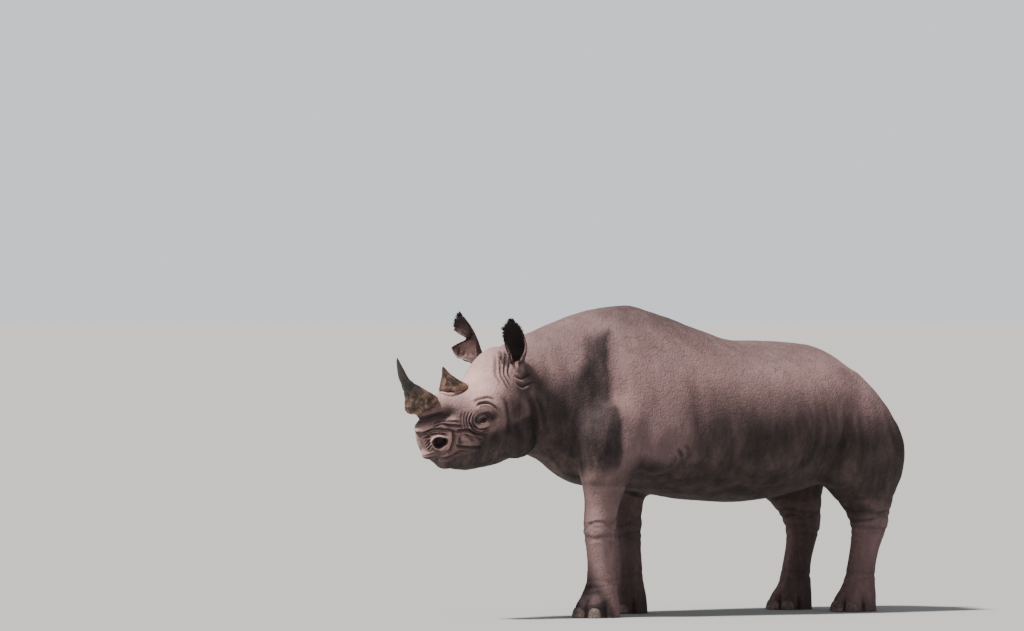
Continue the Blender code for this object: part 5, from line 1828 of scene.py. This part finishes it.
class RhinoColours(bpy.types.PropertyGroup):
    """Colours of the animal and of the floor."""

    hide_grey: colour_property("Grey hide", "Cooler patches of the skin", (0.200, 0.124, 0.128))
    hide_brown: colour_property("Brown hide", "Warmer patches of the skin", (0.220, 0.131, 0.128))
    # Also painted light from above on the hide's up-facing skin.
    hide_dust: colour_property("Dust", "Dust and worn tops of the skin", (0.400, 0.248, 0.246))
    # Dust, and painted light, on the forehead, bridge, lip and forelegs.
    hide_pale: colour_property("Pale dust", "Dust on the forehead, bridge and lip", (0.700, 0.432, 0.408))
    # Painted shade in the cracks, folds, belly and other shaded places.
    hide_dark: colour_property("Dark hide", "Cracks, folds and belly", (0.018, 0.0140, 0.0142))
    # Painted highlight on the lit rims of the lower lids and nostrils and on the fold under each eye.
    hide_highlight: colour_property("Bare rims", "Pinkish rims of lids and nostrils", (0.60, 0.36, 0.33))
    horn_base: colour_property("Horn", "Brown fibres of the lower horns", (0.215, 0.122, 0.088))
    horn_band: colour_property("Horn foot", "Orange frayed fibres at the horns' feet", (0.320, 0.172, 0.118))
    horn_dark: colour_property("Horn grooves", "Dark matted fibres", (0.040, 0.022, 0.016))
    horn_tip: colour_property("Horn tip", "Dark grey upper part of the horns", (0.050, 0.040, 0.038))
    iris: colour_property("Iris", "The brown ring of the eye", (0.045, 0.022, 0.012))
    nail_dark: colour_property("Nail grooves", "Darker parts of the toenails", (0.070, 0.052, 0.045))
    nail_light: colour_property("Nail", "Lighter parts of the toenails", (0.200, 0.155, 0.130))
    hair: colour_property("Hair", "Fringes, bristles and lashes", (0.008, 0.006, 0.006))
    floor: colour_property("Floor", "The pale floor", (0.50, 0.50, 0.49))


# ---------------------------------------------------------------- operators
class RHINO_OT_skin(bpy.types.Operator):
    """Builds the one skin over the body, head, ears, legs and tail"""

    bl_idname = "rhino.skin"
    bl_label = "Skin"

    def execute(self, context):
        skin = skin_piece(context.scene.rhino_sizes)
        hand_over(skin, hide_finish(context.scene.rhino_colours), "hide", *FLESH)
        return {"FINISHED"}


class RHINO_OT_horns(bpy.types.Operator):
    """Builds the two horns on the nose"""

    bl_idname = "rhino.horns"
    bl_label = "Horns"

    def execute(self, context):
        fibre = context.scene.rhino_sizes.horn_fibre
        finish = horn_finish(context.scene.rhino_colours)
        for name, stations, share, rim, seed in (
            ("front_horn", FRONT_HORN, 1.0, FRONT_RIM, 31),
            ("rear_horn", REAR_HORN, 0.7, REAR_RIM, 41),
        ):
            horn = horn_piece(name, stations, fibre * share, rim, seed)
            hand_over(horn, finish, "horn", "horn_" + name.split("_")[0])
        return {"FINISHED"}


class RHINO_OT_eyes(bpy.types.Operator):
    """Builds both eyeballs"""

    bl_idname = "rhino.eyes"
    bl_label = "Eyes"

    def execute(self, context):
        finish = eye_finish(context.scene.rhino_colours)
        for hand, side in SIDES.items():
            ball = eye_piece(hand + "_eyeball", side, context.scene.rhino_sizes.eye_radius)
            hand_over(ball, finish, "eye", "eye_" + hand)
        return {"FINISHED"}


class RHINO_OT_toenails(bpy.types.Operator):
    """Builds the three toenails of each foot"""

    bl_idname = "rhino.toenails"
    bl_label = "Toenails"

    def execute(self, context):
        finish = nail_finish(context.scene.rhino_colours)
        for leg in STANCE:
            foot = leg.replace("leg", "")
            nodes = [f"toenail_{foot}_{toe}" for toe, _, _ in TOENAILS]
            hand_over(toenails_piece(leg), finish, "nail", *nodes, sharp=NAIL_EDGE)
        return {"FINISHED"}


class RHINO_OT_hair(bpy.types.Operator):
    """Builds the ear fringes, the tail's bristles and the lashes"""

    bl_idname = "rhino.hair"
    bl_label = "Hair"

    def execute(self, context):
        finish = hair_finish(context.scene.rhino_colours)
        sizes = context.scene.rhino_sizes
        fringes = [ear_fringe(hand, sizes.ear_wall, sizes.fringe_length) for hand in SIDES]
        for piece in (*fringes, tail_bristles(), lashes()):
            hand_over(piece, finish, "hide")
        return {"FINISHED"}


class RHINO_OT_stage(bpy.types.Operator):
    """Lays the floor, hangs the lights and sets the camera"""

    bl_idname = "rhino.stage"
    bl_label = "Stage"

    def execute(self, context):
        scene = context.scene
        size = scene.rhino_sizes.floor_size
        rim = [(size * cos, size * sin, 0) for cos, sin in zip(*circle(FLOOR_SIDES))]
        mesh = bpy.data.meshes.new("floor")
        mesh.from_pydata(rim, [], [tuple(range(FLOOR_SIDES))])
        floor = placed("floor", mesh)
        dress(floor, floor_finish(scene.rhino_colours))
        set_lights(scene)
        set_camera(scene)
        return {"FINISHED"}


def set_lights(scene):
    """A broad soft key from above the head, a wide fill and a pale sky."""
    sky = bpy.data.worlds.new("studio")
    sky.use_nodes = True
    tree = sky.node_tree
    background = tree.nodes["Background"]
    background.inputs["Color"].default_value = (*SKY_COLOUR, 1)
    seen = tree.nodes.new("ShaderNodeLightPath")
    strength = tree.nodes.new("ShaderNodeMix")
    strength.inputs["A"].default_value = SKY_STRENGTH
    strength.inputs["B"].default_value = SKY_SEEN
    tree.links.new(seen.outputs["Is Camera Ray"], strength.inputs["Factor"])
    tree.links.new(strength.outputs["Result"], background.inputs["Strength"])
    scene.world = sky
    for name, towards, power, spread in LIGHTS:
        lamp = bpy.data.lights.new(name, "SUN")
        lamp.energy = power
        lamp.angle = math.radians(spread)
        lamp.color = LIGHT_COLOUR
        hung = bpy.data.objects.new(name, lamp)
        scene.collection.objects.link(hung)
        hung.rotation_mode = "QUATERNION"
        hung.rotation_quaternion = Vector(towards).to_track_quat("-Z", "Y")


def set_camera(scene):
    """A level long-lens view from in front of the animal's left shoulder."""
    azimuth = math.radians(VIEW_AZIMUTH)
    back = Vector((math.sin(azimuth), -math.cos(azimuth), 0))
    right = Vector((math.cos(azimuth), math.sin(azimuth), 0))
    withers = Vector((0, 0, WITHERS_TOP)) + cad_shift()
    target = withers - right * WITHERS_RIGHT - Vector((0, 0, WITHERS_UP))
    lens = bpy.data.cameras.new("camera")
    lens.sensor_width = SENSOR
    lens.lens = SENSOR * VIEW_DISTANCE / VIEW_WIDTH
    lens.clip_end = VIEW_REACH
    camera = bpy.data.objects.new("camera", lens)
    scene.collection.objects.link(camera)
    camera.location = target + back * VIEW_DISTANCE
    camera.rotation_mode = "QUATERNION"
    camera.rotation_quaternion = (-back).to_track_quat("-Z", "Y")
    scene.camera = camera


# ---------------------------------------------------------------- panel
class RHINO_PT_sidebar(bpy.types.Panel):
    """Lists the pieces and the sizes and colours they are built from"""

    bl_idname = "RHINO_PT_sidebar"
    bl_label = "Rhinoceros"
    bl_space_type = "VIEW_3D"
    bl_region_type = "UI"
    bl_category = "Rhinoceros"

    def draw(self, context):
        column = self.layout.column()
        for operator in OPERATORS:
            column.operator(operator.bl_idname)
        for group in (context.scene.rhino_sizes, context.scene.rhino_colours):
            for key in group.__annotations__:
                column.prop(group, key)


OPERATORS = (RHINO_OT_skin, RHINO_OT_horns, RHINO_OT_eyes, RHINO_OT_toenails, RHINO_OT_hair, RHINO_OT_stage)
CLASSES = (RhinoSizes, RhinoColours, *OPERATORS, RHINO_PT_sidebar)


def register():
    for item in CLASSES:
        bpy.utils.register_class(item)
    bpy.types.Scene.rhino_sizes = PointerProperty(type=RhinoSizes)
    bpy.types.Scene.rhino_colours = PointerProperty(type=RhinoColours)


def unregister():
    del bpy.types.Scene.rhino_sizes
    del bpy.types.Scene.rhino_colours
    for item in reversed(CLASSES):
        bpy.utils.unregister_class(item)


def main():
    register()
    bpy.ops.rhino.skin()
    bpy.ops.rhino.horns()
    bpy.ops.rhino.eyes()
    bpy.ops.rhino.toenails()
    bpy.ops.rhino.hair()
    bpy.ops.rhino.stage()


if __name__ == "__main__":
    main()
